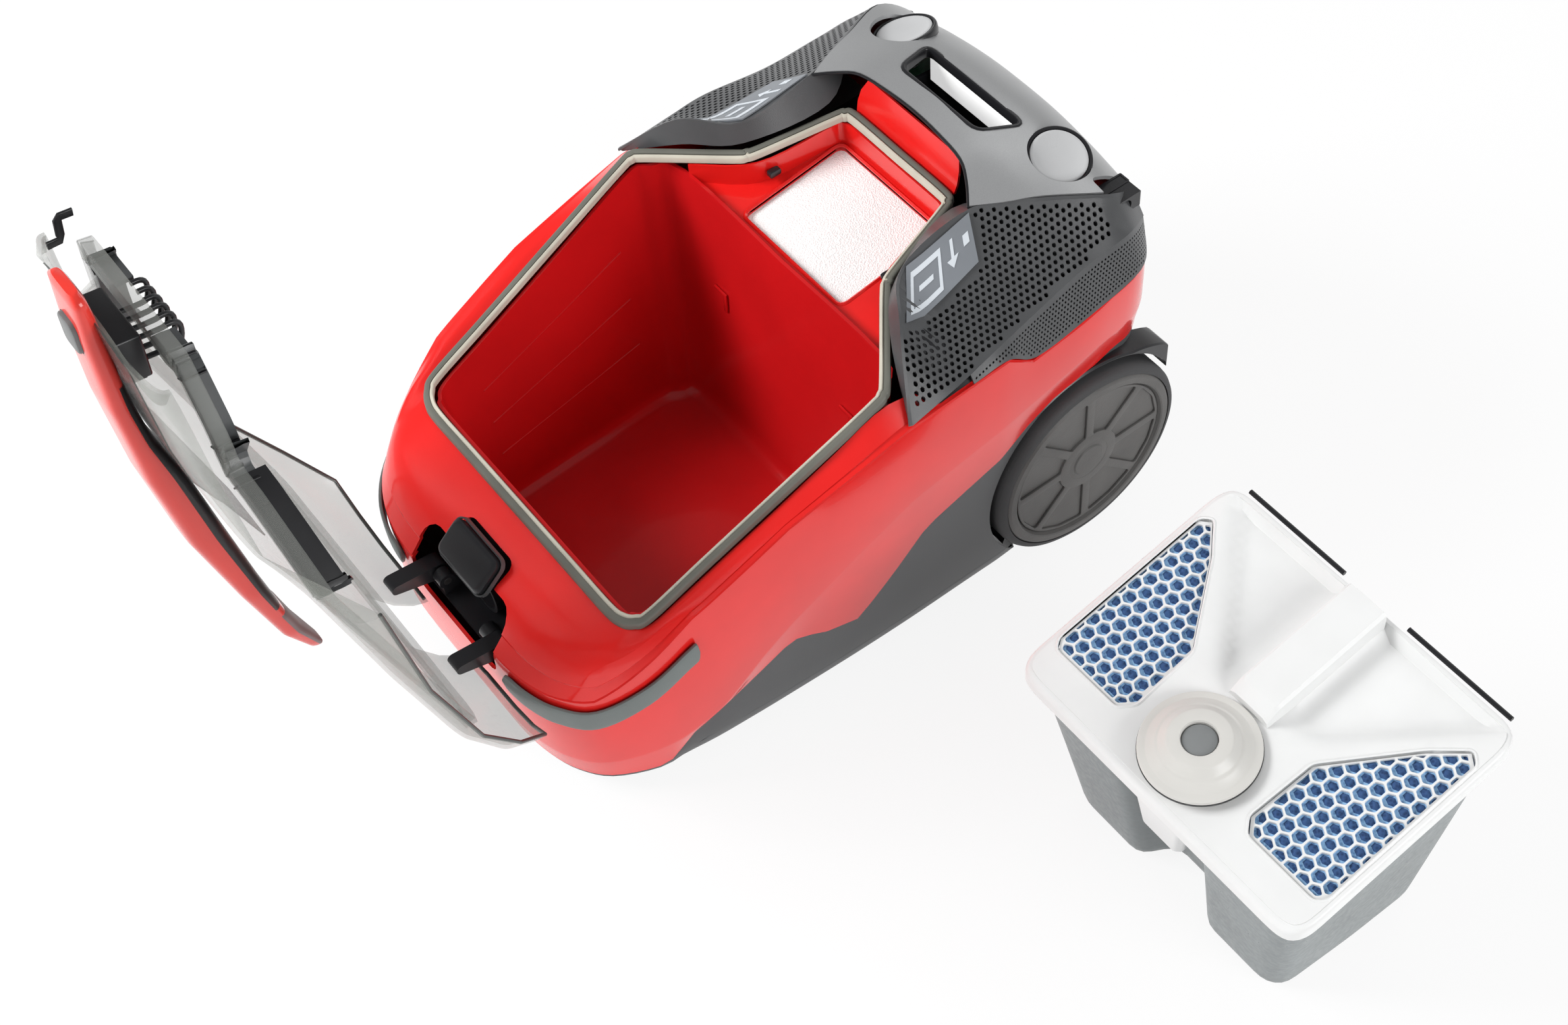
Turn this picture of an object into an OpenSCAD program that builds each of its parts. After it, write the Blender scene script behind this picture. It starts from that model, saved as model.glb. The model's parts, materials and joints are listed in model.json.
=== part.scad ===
// Canister vacuum cleaner with a water filter box. The clear lid stands open on its front hinge and
// the filter box is lifted out and stands on the floor beside the body.
// Body axes: +X runs from the nose to the rear, +Y to the left side, +Z up from the floor.
// Everything is laid out about the nose and the middle of the body, then moved so that the origin is
// the middle of the whole set-out, on the floor.

/* [Body] */
// Rear face of the body
rear_x = 474; // [470:1:480]
// Wall thickness of the moulded shells
wall = 3; // [2.5:0.5:3.5]
// Underside of the base pan above the floor
ground_gap = 15; // [12:1:18]
// Depth of the grip recess under the carry handle
grip_floor_z = 236; // [232:1:240]

/* [Running gear] */
// Radius of a rear wheel
wheel_r = 79; // [76:1:80]
// Centre of the rear wheels along the body
wheel_x = 393; // [390:1:396]
// Distance between the outer faces of the rear wheels
track_w = 318; // [314:1:322]
// Thickness of a rear wheel
wheel_w = 30; // [26:1:32]
// Radius of a stub axle
axle_r = 5; // [4:0.5:6]
// Centre of the caster's swivel
caster_x = 22; // [21:1:24]
// Radius of the caster wheel
caster_r = 15; // [13:1:16]

/* [Lid] */
// Hinge line along X
hinge_x = -10; // [-12:1:-8]
// Hinge line height
hinge_z = 100; // [98:1:102]
// Angle that the lid stands open
open_angle = 81.5; // [60:0.5:84]
// Thickness of the clear lid
lid_t = 3; // [2.5:0.5:3.5]
// Half width of the lid's carry handle
handle_half_w = 17; // [14:1:20]

/* [Hose port] */
// Inner radius of the hose socket
port_r = 17.5; // [16:0.5:18]
// Height of the socket's axis
port_z = 110; // [109:1:111]

/* [Top buttons] */
// Radius of a round button
button_r = 19.5; // [18:0.5:21]
// Travel of a button
button_travel = 4; // [3:0.5:5]
// Outward tilt of a button
button_tilt = 20; // [16:1:24]

/* [Filter box] */
// Outer width of the box's cover
box_w = 238; // [230:1:240]
// Depth of the box along X
box_d = 174; // [168:1:178]
// Height of the cover's front edge
box_front_h = 157; // [150:1:160]
// Rise of the cover from front to rear
box_rise = 40; // [34:1:42]
// Front edge of the box on the body's X scale
box_x = 212; // [208:1:216]
// Middle of the box on the body's Y scale
box_y = -409; // [-412:1:-400]

/* [Hidden] */
$fn = 48;

gap = 0.3;                                   // gap between pieces that move past each other
fit = 0.05;                                  // radial clearance of a running fit
lid_reach_x = -172;                          // outermost X of the open lid's handle
frame_x = (rear_x + lid_reach_x) / 2;
frame_y = (track_w / 2 + box_y - box_w / 2) / 2;
wheel_in = track_w / 2 - wheel_w;            // inner face of a rear wheel
well_y = wheel_in - 4;                       // wall of the wheel well
well_r = wheel_r + 5;
bay_front_x = 50;
bay_rear_x = 258;
shelf_z = 236;
shelf_slope = 0.15;
opening_x0 = 268;
opening_x1 = 350;
opening_half = 52;
button_x = 426;
button_y = 78;
button_z = 286;
recess_half = 50;
cover_slope = atan(box_rise / box_d);

// Heights along the body, as [x, z] pairs
LOW_EDGE = [[-20, 22], [44, 22], [64, 44], [80, 52], [138, 82], [150, 84], [168, 72], [196, 64],
    [224, 88], [254, 117], [317, 137], [340, 152], [366, 163], [422, 166], [452, 158], [474, 152]];
CREASE = [[-20, 111], [8, 118], [38, 144], [74, 174], [147, 208], [240, 233], [304, 237],
    [320, 238], [341, 221], [384, 224], [411, 227], [450, 224], [474, 216]];
SEAL = [[42, 159], [48.8, 162.3], [236.3, 249.1], [287.8, 262], [357.4, 273.1], [380, 276]];

// How far the brow above the crease bulges
BROW = [[-20, 6], [8, 6], [38, 4], [74, 1], [147, 0.5], [240, 0]];

// Left half of the body's outline, nose to rear
OUTLINE = [[-20, 0], [-20, 30], [-19.5, 60], [-16, 84], [-8, 106], [8, 126], [38, 141], [74, 148],
    [110, 151], [147, 153], [195, 155], [240, 156], [280, 156], [304, 156], [320, 156], [341, 155],
    [384, 153], [411, 150], [440, 143], [460, 127], [470, 104], [474, 70], [474, 0]];
// Outer edge of the seal beside the first stations of OUTLINE
SHOULDER = [[40, 0], [40, 40], [40, 80], [40, 100], [41, 113], [46, 122], [56, 129], [80, 131],
    [112, 133], [148, 135.5], [195, 138], [236, 141]];
// Left half of the seal's centre line
SEAL_LINE = [[42, 0], [42, 60], [42, 100], [44, 113], [49, 121], [58, 125.5], [100, 128], [170, 132.5],
    [226, 136], [236, 135], [244, 128], [283, 80], [289, 75], [297, 71], [348, 56.5], [355, 53],
    [358, 46], [358, 0]];

function mirrored(half) = concat(half, [for (i = [len(half) - 2:-1:1]) [for (k = [0:len(half[i]) - 1])
    k == 1 ? -half[i][k] : half[i][k]]]);
function turn(p, q) = let (d = [q[0] - p[0], q[1] - p[1]]) [d[1], -d[0]] / norm(d);
function inset(loop, t) = let (n = len(loop)) [for (i = [0:n - 1]) let (
    v = turn(loop[(i + n - 1) % n], loop[(i + 1) % n])) [loop[i][0] + t * v[0], loop[i][1] + t * v[1]]];
function at_table(loop, table, dz = 0) = [for (p = loop) [p[0], p[1], lookup(p[0], table) + dz]];
function at_middle(loop) = [for (p = loop) [p[0], p[1], (lookup(p[0], LOW_EDGE) + lookup(p[0], CREASE)) / 2]];
function at_height(loop, z) = [for (p = loop) [p[0], p[1], z]];
function flat(list) = [for (a = list) for (b = a) b];
function grid_tris(rows, cols, start = 0, wrap_r = false, wrap_c = false) = [
    for (r = [0:wrap_r ? rows - 1 : rows - 2]) for (c = [0:wrap_c ? cols - 1 : cols - 2])
        let (a = start + r * cols + c, b = start + (r + 1) % rows * cols + c,
            d = start + r * cols + (c + 1) % cols, e = start + (r + 1) % rows * cols + (c + 1) % cols)
        each [[a, b, e], [a, e, d]]];
function flipped(tris) = [for (t = tris) [t[2], t[1], t[0]]];
function signed_volume(pts, tris) = let (v = [for (t = tris) pts[t[0]] * cross(pts[t[1]], pts[t[2]])])
    v * [for (t = tris) 1];

// A closed solid from points and triangles, turned right side out
module skin(pts, tris) {
    polyhedron(pts, signed_volume(pts, tris) > 0 ? flipped(tris) : tris, convexity = 8);
}

// A wall that runs right round: loops in the order outer bottom, outer top, inner top, inner bottom
module ring_skin(loops) {
    skin(flat(loops), grid_tris(len(loops), len(loops[0]), 0, true, true));
}

// A solid between a flat first loop and a flat last loop
module stack_skin(loops) {
    n = len(loops[0]);
    last = (len(loops) - 1) * n;
    caps = concat([for (i = [1:n - 2]) [0, i, i + 1]], [for (i = [1:n - 2]) [last, last + i + 1, last + i]]);
    skin(flat(loops), concat(grid_tris(len(loops), n, 0, false, true), caps));
}

// A bent plate: a grid of points and the same grid moved by an offset for each point
module plate_skin(grid, back) {
    rows = len(grid);
    cols = len(grid[0]);
    m = rows * cols;
    rim = concat([for (r = [0:rows - 2]) [r * cols, (r + 1) * cols]],
        [for (c = [0:cols - 2]) [(rows - 1) * cols + c, (rows - 1) * cols + c + 1]],
        [for (r = [rows - 2:-1:0]) [(r + 1) * cols + cols - 1, r * cols + cols - 1]],
        [for (c = [cols - 2:-1:0]) [c + 1, c]]);
    sides = [for (e = rim) each [[e[1], e[0], e[0] + m], [e[1], e[0] + m, e[1] + m]]];
    top = grid_tris(rows, cols);
    skin(concat(flat(grid), flat(back)),
        concat(top, flipped([for (t = top) [t[0] + m, t[1] + m, t[2] + m]]), sides));
}

// Moves each grid point towards a line along X by t
function toward(grid, y, z, t) = [for (row = grid) [for (p = row) let (
    v = [0, y - p[1], z - p[2]], u = norm(v) > 0 ? v / norm(v) : [0, 0, -1]) p + t * u]];
function lowered(grid, t) = [for (row = grid) [for (p = row) p - [0, 0, t]]];
function mirror_grid(grid, s) = [for (row = grid) [for (p = row) [p[0], s * p[1], p[2]]]];

// Puts body coordinates into the part's frame
module place() {
    translate([-frame_x, -frame_y, 0]) children();
}

// Turns what is modelled on the closed lid to where the open lid stands
module opened() {
    place() translate([hinge_x, 0, hinge_z]) rotate([0, -open_angle, 0])
        translate([-hinge_x, 0, -hinge_z]) children();
}

module rod_y(r, y0, y1) {
    translate([0, y0, 0]) rotate([-90, 0, 0]) cylinder(r = r, h = y1 - y0);
}

// A rod along Y on one side of the middle plane, s = 1 left, -1 right
module side_rod(s, r, y0, y1) {
    rod_y(r, s > 0 ? y0 : -y1, s > 0 ? y1 : -y0);
}

module rod_x(r, x0, x1) {
    translate([x0, 0, 0]) rotate([0, 90, 0]) cylinder(r = r, h = x1 - x0);
}

module block(x0, x1, y0, y1, z0, z1) {
    translate([x0, y0, z0]) cube([x1 - x0, y1 - y0, z1 - z0]);
}

module rounded_slab(l, w, h, r) {
    linear_extrude(h) union() {
        square([l - 2 * r, w], center = true);
        square([l, w - 2 * r], center = true);
        for (x = [-1, 1]) for (y = [-1, 1]) translate([x * (l / 2 - r), y * (w / 2 - r)]) circle(r);
    }
}

// ---- Base and running gear ----

module wheel_wells(extra) {
    for (s = [-1, 1]) translate([wheel_x, 0, wheel_r])
        side_rod(s, well_r + extra, well_y - extra, 200);
}

module base_pan() {
    outer = mirrored(OUTLINE);
    side = inset(outer, 4);
    foot = inset(outer, 12);
    pan_low = [for (p = side) [p[0], p[1], ground_gap + 14]];
    pan_top = at_table(side, LOW_EDGE, -0.5);
    color("dimgray") place() difference() {
        pan_walls(outer, foot, pan_low, pan_top);
        for (s = [-1, 1]) translate([wheel_x, 0, wheel_r]) side_rod(s, axle_r, 90, 130);
        screws(fit);
    }
}

module pan_walls(outer, foot, pan_low, pan_top) {
    union() {
        difference() {
            ring_skin([at_height(foot, ground_gap), pan_low, pan_top,
                at_table(inset(outer, 4 + wall), LOW_EDGE, -0.5),
                [for (p = inset(outer, 4 + wall)) [p[0], p[1], ground_gap + 16]],
                at_height(inset(outer, 14 + wall), ground_gap + wall)]);
            wheel_wells(0);
            block(-40, 46, -recess_half, recess_half, 60, 120);
        }
        difference() {
            intersection() {
                stack_skin([for (dz = [0, wall]) at_height(inset(outer, 13), ground_gap + dz)]);
                block(-60, 500, -200, 200, 0, 30);
            }
            wheel_wells(0);
            translate([caster_x, 0, 0]) cylinder(r = 25, h = 40);
        }
        for (s = [-1, 1]) intersection() {
            translate([wheel_x, 0, wheel_r]) side_rod(s, well_r + wall, well_y - wall, well_y);
            block(wheel_x - 100, rear_x - 6, -200, 200, ground_gap, 162);
        }
        // Cup over the caster
        translate([caster_x, 0, ground_gap]) difference() {
            cylinder(r = 28, h = 28);
            translate([0, 0, -1]) cylinder(r = 25, h = 26);
            translate([0, 0, -1]) cylinder(r = 9, h = 40);
        }
        // Bosses that hold the stub axles
        for (s = [-1, 1]) translate([wheel_x, 0, wheel_r])
            side_rod(s, 14, 96, well_y - 1);
    }
}

module axle(s) {
    color("silver") place() translate([wheel_x, 0, wheel_r]) {
        side_rod(s, axle_r, 96, track_w / 2 - 3);
        side_rod(s, axle_r + 4, 94, 96);
    }
}

// Disc wheel with eight raised spokes between a hub and a ring
module wheel(s) {
    color("dimgray") place() translate([wheel_x, 0, wheel_r]) scale_side(s) difference() {
        union() {
            difference() {
                rod_y(wheel_r - 6, wheel_in, track_w / 2 - 4);
                rod_y(wheel_r - 12, wheel_in - 1, wheel_in + 12);
            }
            rod_y(16, wheel_in, track_w / 2 - 1);
            difference() {
                rod_y(wheel_r - 9, track_w / 2 - 5, track_w / 2);
                rod_y(wheel_r - 14, track_w / 2 - 6, track_w / 2 + 1);
            }
            for (k = [0:7]) rotate([0, k * 45, 0])
                translate([14, track_w / 2 - 5, -4]) cube([wheel_r - 26, 3, 8]);
        }
        rod_y(axle_r + fit, wheel_in - 1, track_w / 2 - 2.5);
    }
}

module scale_side(s) {
    mirror([0, s > 0 ? 0 : 1, 0]) children();
}

module tread(s) {
    color("darkslategray") place() translate([wheel_x, 0, wheel_r]) scale_side(s) rotate([-90, 0, 0])
        rotate_extrude($fn = 96) polygon([[wheel_r - 6, wheel_in], [wheel_r - 2, wheel_in],
            [wheel_r, wheel_in + 4], [wheel_r, track_w / 2 - 7], [wheel_r - 3, track_w / 2 - 2],
            [wheel_r - 6, track_w / 2 - 1]]);
}

module caster_bush() {
    color("gray") place() translate([caster_x, 0, ground_gap + 25]) difference() {
        union() {
            cylinder(r = 9, h = 3);
            translate([0, 0, 3]) cylinder(r = 12, h = 18);
        }
        translate([0, 0, -1]) cylinder(r = 4 + fit, h = 30);
    }
}

module caster_fork() {
    color("black") place() translate([caster_x, 0, 0]) difference() {
        union() {
            translate([0, 0, 33]) cylinder(r = 14, h = 5);
            translate([0, 0, 38]) cylinder(r = 4, h = 22);
            for (s = [-1, 1]) hull() {
                translate([7, 0, caster_r]) side_rod(s, 5, 8, 11);
                translate([-5, s > 0 ? 8 : -11, 33]) cube([14, 3, 4]);
            }
        }
        translate([7, 0, caster_r]) rod_y(2, -20, 20);
    }
}

module caster_axle() {
    color("silver") place() translate([caster_x + 7, 0, caster_r]) rod_y(2, -11, 11);
}

module caster_wheel() {
    color("darkslategray") place() translate([caster_x + 7, 0, caster_r]) difference() {
        rod_y(caster_r, -7, 7);
        rod_y(2 + fit, -8, 8);
    }
}

// ---- Red mouldings ----

module body_shell() {
    loop = mirrored(OUTLINE);
    n = len(loop);
    half = len(OUTLINE);
    tucked = inset(loop, 9);
    top_half = [for (i = [0:half - 1]) i < len(SHOULDER)
        ? [SHOULDER[i][0], SHOULDER[i][1], lookup(SHOULDER[i][0], SEAL) - 3]
        : [tucked[i][0], tucked[i][1], lookup(tucked[i][0], CREASE) + 3]];
    top = mirrored(top_half);
    brow = [for (i = [0:n - 1]) let (f = lookup(loop[i][0], BROW), c = at_table([loop[i]], CREASE)[0])
        (c + top[i]) / 2 + f * [-1.1, 0, 1]];
    belly = at_middle(inset(loop, -1));
    in_loop = inset(loop, wall);
    in_belly = at_middle(inset(loop, wall - 1));
    color("crimson") place() difference() {
        ring_skin([at_table(inset(loop, 3), LOW_EDGE), belly, at_table(loop, CREASE), brow, top,
            lowered([top], wall)[0], lowered([brow], wall * 1.3)[0],
            at_table(in_loop, CREASE, -wall * 0.7), in_belly, at_table(inset(loop, 3 + wall), LOW_EDGE)]);
        wheel_wells(0);
        block(-60, 26, -recess_half, recess_half, 84, 137);
        // Pocket for the latch
        block(-60, 21, -27, 27, 120, 170);
        // Rear window of the grip recess
        block(440, 500, -52, 52, grip_floor_z - 6, 300);
    }
}

module tub_liner() {
    top_half = [[bay_front_x, 0], [bay_front_x, 98], [53, 112], [62, 118.5], [100, 121],
        [170, 126], [226, 130.5], [242, 125], [bay_rear_x, 106], [bay_rear_x, 0]];
    low_half = [[60, 0], [60, 90], [63, 102], [72, 108.5], [104, 111],
        [170, 114.5], [216, 117], [232, 112], [248, 96], [248, 0]];
    top_z = [[bay_front_x, 158], [236, 244], [bay_rear_x, 243]];
    top = mirrored(top_half);
    low = mirrored(low_half);
    color("crimson") place() difference() {
        stack_skin_tub(top, low, top_z);
        translate([0, 0, port_z]) rod_x(port_r + 4, 40, 70);
    }
}

// Tub with a flat floor and a rim that follows the seal
module stack_skin_tub(top, low, top_z) {
    t = 2.5;
    n = len(top);
    loops = [at_height(inset(low, -t), 27 - t), at_table(inset(top, -t), top_z), at_table(top, top_z),
        at_height(low, 27)];
    last = 3 * n;
    caps = concat([for (i = [1:n - 2]) [0, i, i + 1]], [for (i = [1:n - 2]) [last, last + i + 1, last + i]]);
    skin(flat(loops), concat(grid_tris(4, n, 0, false, true), caps));
}

// Height of the sloping shelf's upper face
function shelf_top(x) = shelf_z + (x - bay_rear_x) * shelf_slope;

module rear_shelf() {
    edge = [[bay_rear_x + 3, 103], [292, 68], [340, 57], [352, 54], [355, 44]];
    loop = mirrored(concat([[bay_rear_x + 3, 0]], edge, [[355, 0]]));
    n = len(edge);
    line = concat(edge, [for (i = [n - 1:-1:0]) [edge[i][0], -edge[i][1]]]);
    m = len(line);
    inward = [for (i = [0:m - 1]) turn(line[max(i - 1, 0)], line[min(i + 1, m - 1)])];
    low = [for (i = [0:m - 1]) [line[i][0] + inward[i][0], line[i][1] + inward[i][1],
        shelf_top(line[i][0]) - 1]];
    high = [for (p = low) [p[0], p[1], lookup(p[0], SEAL) - 4]];
    out = [for (v = inward) [-v[0], -v[1], 0]];
    color("crimson") place() {
        difference() {
            stack_skin([for (dz = [-wall, 0]) [for (p = loop) [p[0], p[1], shelf_top(p[0]) + dz]]]);
            block(opening_x0, opening_x1, -opening_half, opening_half, 200, 300);
        }
        // Wall round the shelf, up to the seal
        plate_skin([low, high], [low + 1.8 * out, high + 1.8 * out]);
        // Band between the seal and the rear cover
        plate_skin([[[363, -50, 274], [363, 50, 274]], [[371, -46, 299], [371, 46, 299]]],
            [[[365, -50, 274], [365, 50, 274]], [[373, -46, 299], [373, 46, 299]]]);
    }
}

module tub_gasket() {
    line = mirrored(SEAL_LINE);
    color("gray") place() ring_skin([at_table(inset(line, -4), SEAL, -2.5),
        at_table(inset(line, -4), SEAL, 2), at_table(inset(line, -1), SEAL, 3),
        at_table(inset(line, 3.5), SEAL, 2.5),
        at_table(inset(line, 3.5), SEAL, -2.5)]);
}

// Soft strip round one corner of the nose
module bumper(s) {
    line = [[-19.5, 62], [-16.5, 84], [-8.5, 106], [8, 126.5], [38, 141.5], [66, 147.5], [74, 148.5]];
    mid = [96, 96, 97, 100, 117, 137, 142];
    n = len(line);
    out = [for (i = [0:n - 1]) let (v = turn(line[max(i - 1, 0)], line[min(i + 1, n - 1)])) -v];
    // Upper and lower edge at a distance from the body, with half the strip's height
    strip = function(away, half_h) [for (k = [-1, 1]) [for (i = [0:n - 1])
        [line[i][0] + away * out[i][0], line[i][1] + away * out[i][1], mid[i] + k * half_h]]];
    color("gray") place() scale_side(s) plate_skin(strip(4.3, 8), strip(1.2, 10));
}

// ---- Upper rear: flanks, cover, buttons ----

// Perforated exhaust shell beside the cover, left side
FLANK_TOP = [[239, 157, 238], [264, 118, 278], [293.5, 84, 282], [351, 81, 293], [395, 100, 288],
    [434, 118, 279], [460, 112, 262]];
FLANK_LIP = [[241, 154, 237], [262, 111, 262], [291, 79.5, 268], [350, 63, 279], [393, 95, 283],
    [431, 112, 274], [456, 107, 258]];
FLANK_RIDGE = [[242, 157.6, 237], [282, 155, 243.6], [310, 152, 248.5], [356, 144, 250.5], [398, 139.5, 256],
    [434, 137, 257], [462, 122, 244]];
FLANK_LOW = [[246, 158, 236.6], [290, 158, 239.6], [318, 158, 241], [342, 157, 225.4], [384, 155, 228],
    [438, 147, 229.4], [464, 124, 223.6]];

// From the outer face to the inner one at each row, thinning out at the front tip
FLANK_INWARD = [[0, 2.7, -1.2], [0, 1.3, -4], [0, -2.3, -2.1], [0, -2.6, -1.6]];

module flank(s) {
    rows = [FLANK_LIP, FLANK_TOP, FLANK_RIDGE, FLANK_LOW];
    inner = [for (r = [0:3]) [for (i = [0:len(FLANK_TOP) - 1])
        rows[r][i] + (i == 0 ? 0.2 : 1) * FLANK_INWARD[r]]];
    color("dimgray") place() difference() {
        plate_skin(mirror_grid(rows, s), mirror_grid(inner, s));
        if (s < 0) outlet_pocket();
    }
}

module outlet_pocket() {
    block(431, 457, -150, -103, 258, 300);
}

// Raised label plate with a tank symbol and an arrow
module symbol_panel(s) {
    low = [FLANK_TOP[2] + [3, 0.6, 0], FLANK_TOP[3] + [-3, 0.6, 0]];
    far_edge = [[303, 103, 273], [350, 100.8, 279.4]];
    base = mirror_grid([low, far_edge], s);
    up = [0, 0.42 * s, 0.9];
    color("lightslategray") place() plate_skin(
        [for (row = base) [for (p = row) p + 1.6 * up]], [for (row = base) [for (p = row) p + 0.3 * up]]);
}

COVER_HALF = [
    [[351, 79.6, 293.8], [361, 66, 299], [368, 51, 303.5], [371, 25, 305], [372, 0, 305.5]],
    [[372, 90, 291.8], [378, 72, 298], [384, 52, 302.5], [386, 26, 304], [387, 0, 304.5]],
    [[395, 99, 289], [398, 82, 293.5], [400, 58, 299], [402, 28, 302], [402, 0, 302.5]],
    [[434, 116.5, 280], [434, 94, 284], [434, 66, 290], [434, 32, 294], [434, 0, 295]],
    [[457, 110.5, 265], [458, 94, 267], [459, 68, 272], [460, 34, 276], [460, 0, 277]],
    [[467, 105, 245.5], [469, 90, 247], [470, 64, 251], [471, 32, 253], [472, 0, 254]],
    [[467, 103, 222], [470, 90, 222], [473, 64, 222], [474, 32, 222], [474, 0, 222]]];

module button_axis(s) {
    translate([button_x, s * button_y, button_z]) rotate([-s * button_tilt, 0, 0]) children();
}

module grip_slot(grow) {
    translate([0, 0, grip_floor_z]) linear_extrude(90) polygon([[391 - grow, -38.8 - grow],
        [422 + grow, -49 - grow], [422 + grow, 49 + grow], [391 - grow, 38.8 + grow]]);
}

module rear_cover() {
    grid = [for (row = COVER_HALF) concat(row, [for (i = [3:-1:0]) [row[i][0], -row[i][1], row[i][2]]])];
    color("silver") place() difference() {
        plate_skin(grid, toward(grid, 0, 180, wall));
        grip_slot(0);
        block(440, 500, -46, 46, grip_floor_z, 257);
        for (s = [-1, 1]) button_axis(s) translate([0, 0, -30]) cylinder(r = button_r + 3.2, h = 60);
        outlet_pocket();
    }
}

// Black lining of the space under the carry handle, with the underside of the handle
module grip_liner() {
    color("black") place() {
        block(387, 470, -49.5, 49.5, grip_floor_z - 3, grip_floor_z);
        block(387, 390, -46, 46, grip_floor_z, 298);
        for (y = [-52, 49.5]) translate([0, y + 2.5, 0]) rotate([90, 0, 0]) linear_extrude(2.5)
            polygon([[387, grip_floor_z - 3], [467, grip_floor_z - 3], [466, 246], [455, 268], [387, 274]]);
        block(423, 462, -49.5, 49.5, 257.3, 260);
        block(423, 426, -46, 46, 260, 288);
    }
}

module button(s) {
    color("gainsboro") place() button_axis(s) {
        translate([0, 0, -5]) cylinder(r = button_r, h = 7);
        translate([0, 0, -14]) difference() {
            cylinder(r = 6, h = 9);
            translate([0, 0, -1]) cylinder(r = 4.5, h = 8);
        }
    }
}

module button_ring(s) {
    color("black") place() button_axis(s) difference() {
        translate([0, 0, -6]) cylinder(r = button_r + 3, h = 8.5);
        translate([0, 0, -7]) cylinder(r = button_r + 0.4, h = 12);
    }
}

// Return springs, drawn at their pressed length
module button_springs() {
    pitch = (11.5 - button_travel) / 4;
    color("silver") place() for (s = [-1, 1]) button_axis(s)
        for (k = [0:3]) translate([0, 0, -25.5 + k * pitch])
            rotate_extrude() translate([3, 0]) circle(r = 0.5);
}

module control_board() {
    color("seagreen") place() for (s = [-1, 1]) button_axis(s) {
        translate([-18, -16, -28]) cube([36, 32, 2]);
        translate([-4, 8, -26]) cube([8, 6, 4]);
    }
}

// ---- Nose: hose socket, latch, lid hinge ----

module hose_port() {
    color("black") place() difference() {
        union() {
            translate([0, 0, port_z]) rod_x(port_r + 3, 2, 51);
            translate([0, 0, port_z]) rod_x(port_r + 5, 27.3, 31);
        }
        translate([0, 0, port_z]) rod_x(port_r, 0, 60);
    }
}

module latch_axis() {
    translate([2, 0, 143]) rotate([0, -42, 0]) children();
}

// Plate that is pressed to free the hose
module port_latch() {
    color("black") place() latch_axis() {
        translate([0, 0, -6]) rounded_slab(27, 50, 6, 5);
    }
}

// Floor and back of the nose recess, with the knuckles that hold the hinge pin
module hinge_block() {
    color("black") place() difference() {
        union() {
            block(-14, 26, -recess_half + 0.5, recess_half - 0.5, 84.5, 88);
            block(23, 26, -recess_half + 0.5, recess_half - 0.5, 88, 136);
            for (s = [-1, 1]) {
                block(-14, 4, s > 0 ? 24 : -33, s > 0 ? 33 : -24, 88, hinge_z);
                translate([hinge_x, 0, hinge_z]) side_rod(s, 6, 24, 33);
            }
        }
        translate([hinge_x, 0, hinge_z]) rod_y(3, -60, 60);
        translate([0, 0, port_z]) rod_x(port_r + 3, -30, 60);
    }
}

module hinge_pin() {
    color("silver") place() translate([hinge_x, 0, hinge_z]) for (s = [-1, 1]) side_rod(s, 3, 24, 47);
}

// ---- Lid, modelled closed and stood open ----

LID_HALF = [[-23, 48], [-20, 84], [-10, 109], [8, 130], [38, 145.5], [74, 152], [147, 157], [232, 158],
    [261, 114], [291, 80], [330, 78], [367, 76]];
LID_RIM = [[-23, 115], [8, 123], [38, 150], [74, 179], [147, 213], [232, 239], [261, 279], [291, 283],
    [349, 294], [367, 298]];
LID_TOP = [[-23, 117], [-20, 126], [-10, 140], [8, 156], [38, 175], [74, 197], [147, 230], [232, 268],
    [261, 284], [291, 293], [349, 305], [367, 308]];
LID_STATIONS = [-23, -20, -10, 8, 22, 38, 74, 110, 147, 190, 232, 247, 261, 276, 291, 320, 345, 367];
LID_STEPS = 14;

// Flattened arch: a runs from 0 at the left rim to 180 at the right rim
function lid_y(x, a) = lookup(x, LID_HALF) * sign(cos(a)) * pow(abs(cos(a)), 0.6);
function lid_z(x, a) = lookup(x, LID_RIM) + (lookup(x, LID_TOP) - lookup(x, LID_RIM)) * pow(sin(a), 0.6);
function lid_x(x, a) = x - (x > 360 ? 20 * pow(abs(cos(a)), 1.5) : 0);
function lid_point(x, a, in) = let (s = max(0, 1 - in / lookup(x, LID_HALF)))
    [lid_x(x, a), s * lid_y(x, a), lid_z(x, a) - in * pow(sin(a), 0.4)];
function lid_grid(in) = [for (x = LID_STATIONS)
    [for (k = [0:LID_STEPS]) lid_point(x, 180 * k / LID_STEPS, in)]];

module lid_skin() {
    plate_skin(lid_grid(0), lid_grid(lid_t));
}

module lid_shell() {
    color("lightgray", 0.35) opened() difference() {
        lid_skin();
        block(-40, 4, -26, 26, 100, 134);
    }
}

FRAME_TOP = [[42, 172], [100, 203], [147, 222], [170, 232], [226, 254], [244, 264], [283, 283], [297, 287],
    [348, 301], [358, 303]];

module lid_frame() {
    line = mirrored(SEAL_LINE);
    color("black") opened() difference() {
        ring_skin([at_table(inset(line, -1.5), SEAL, 3.5), at_table(inset(line, -2.5), FRAME_TOP),
            at_table(inset(line, 1.5), FRAME_TOP), at_table(inset(line, 3), SEAL, 3.5)]);
        lid_skin();
    }
}

HANDLE_TOP = [[28, 212], [60, 233], [114, 256], [175, 280], [237, 297], [300, 309], [350, 315], [384, 317]];
HANDLE_UNDER = [[28, 204], [60, 220], [80, 228], [114, 240], [175, 258], [237, 276], [270, 289], [300, 296],
    [340, 301.5], [368, 305.5], [384, 309]];
HANDLE_HALF = [[28, 5], [60, 12], [114, 17], [384, 17]];

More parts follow.
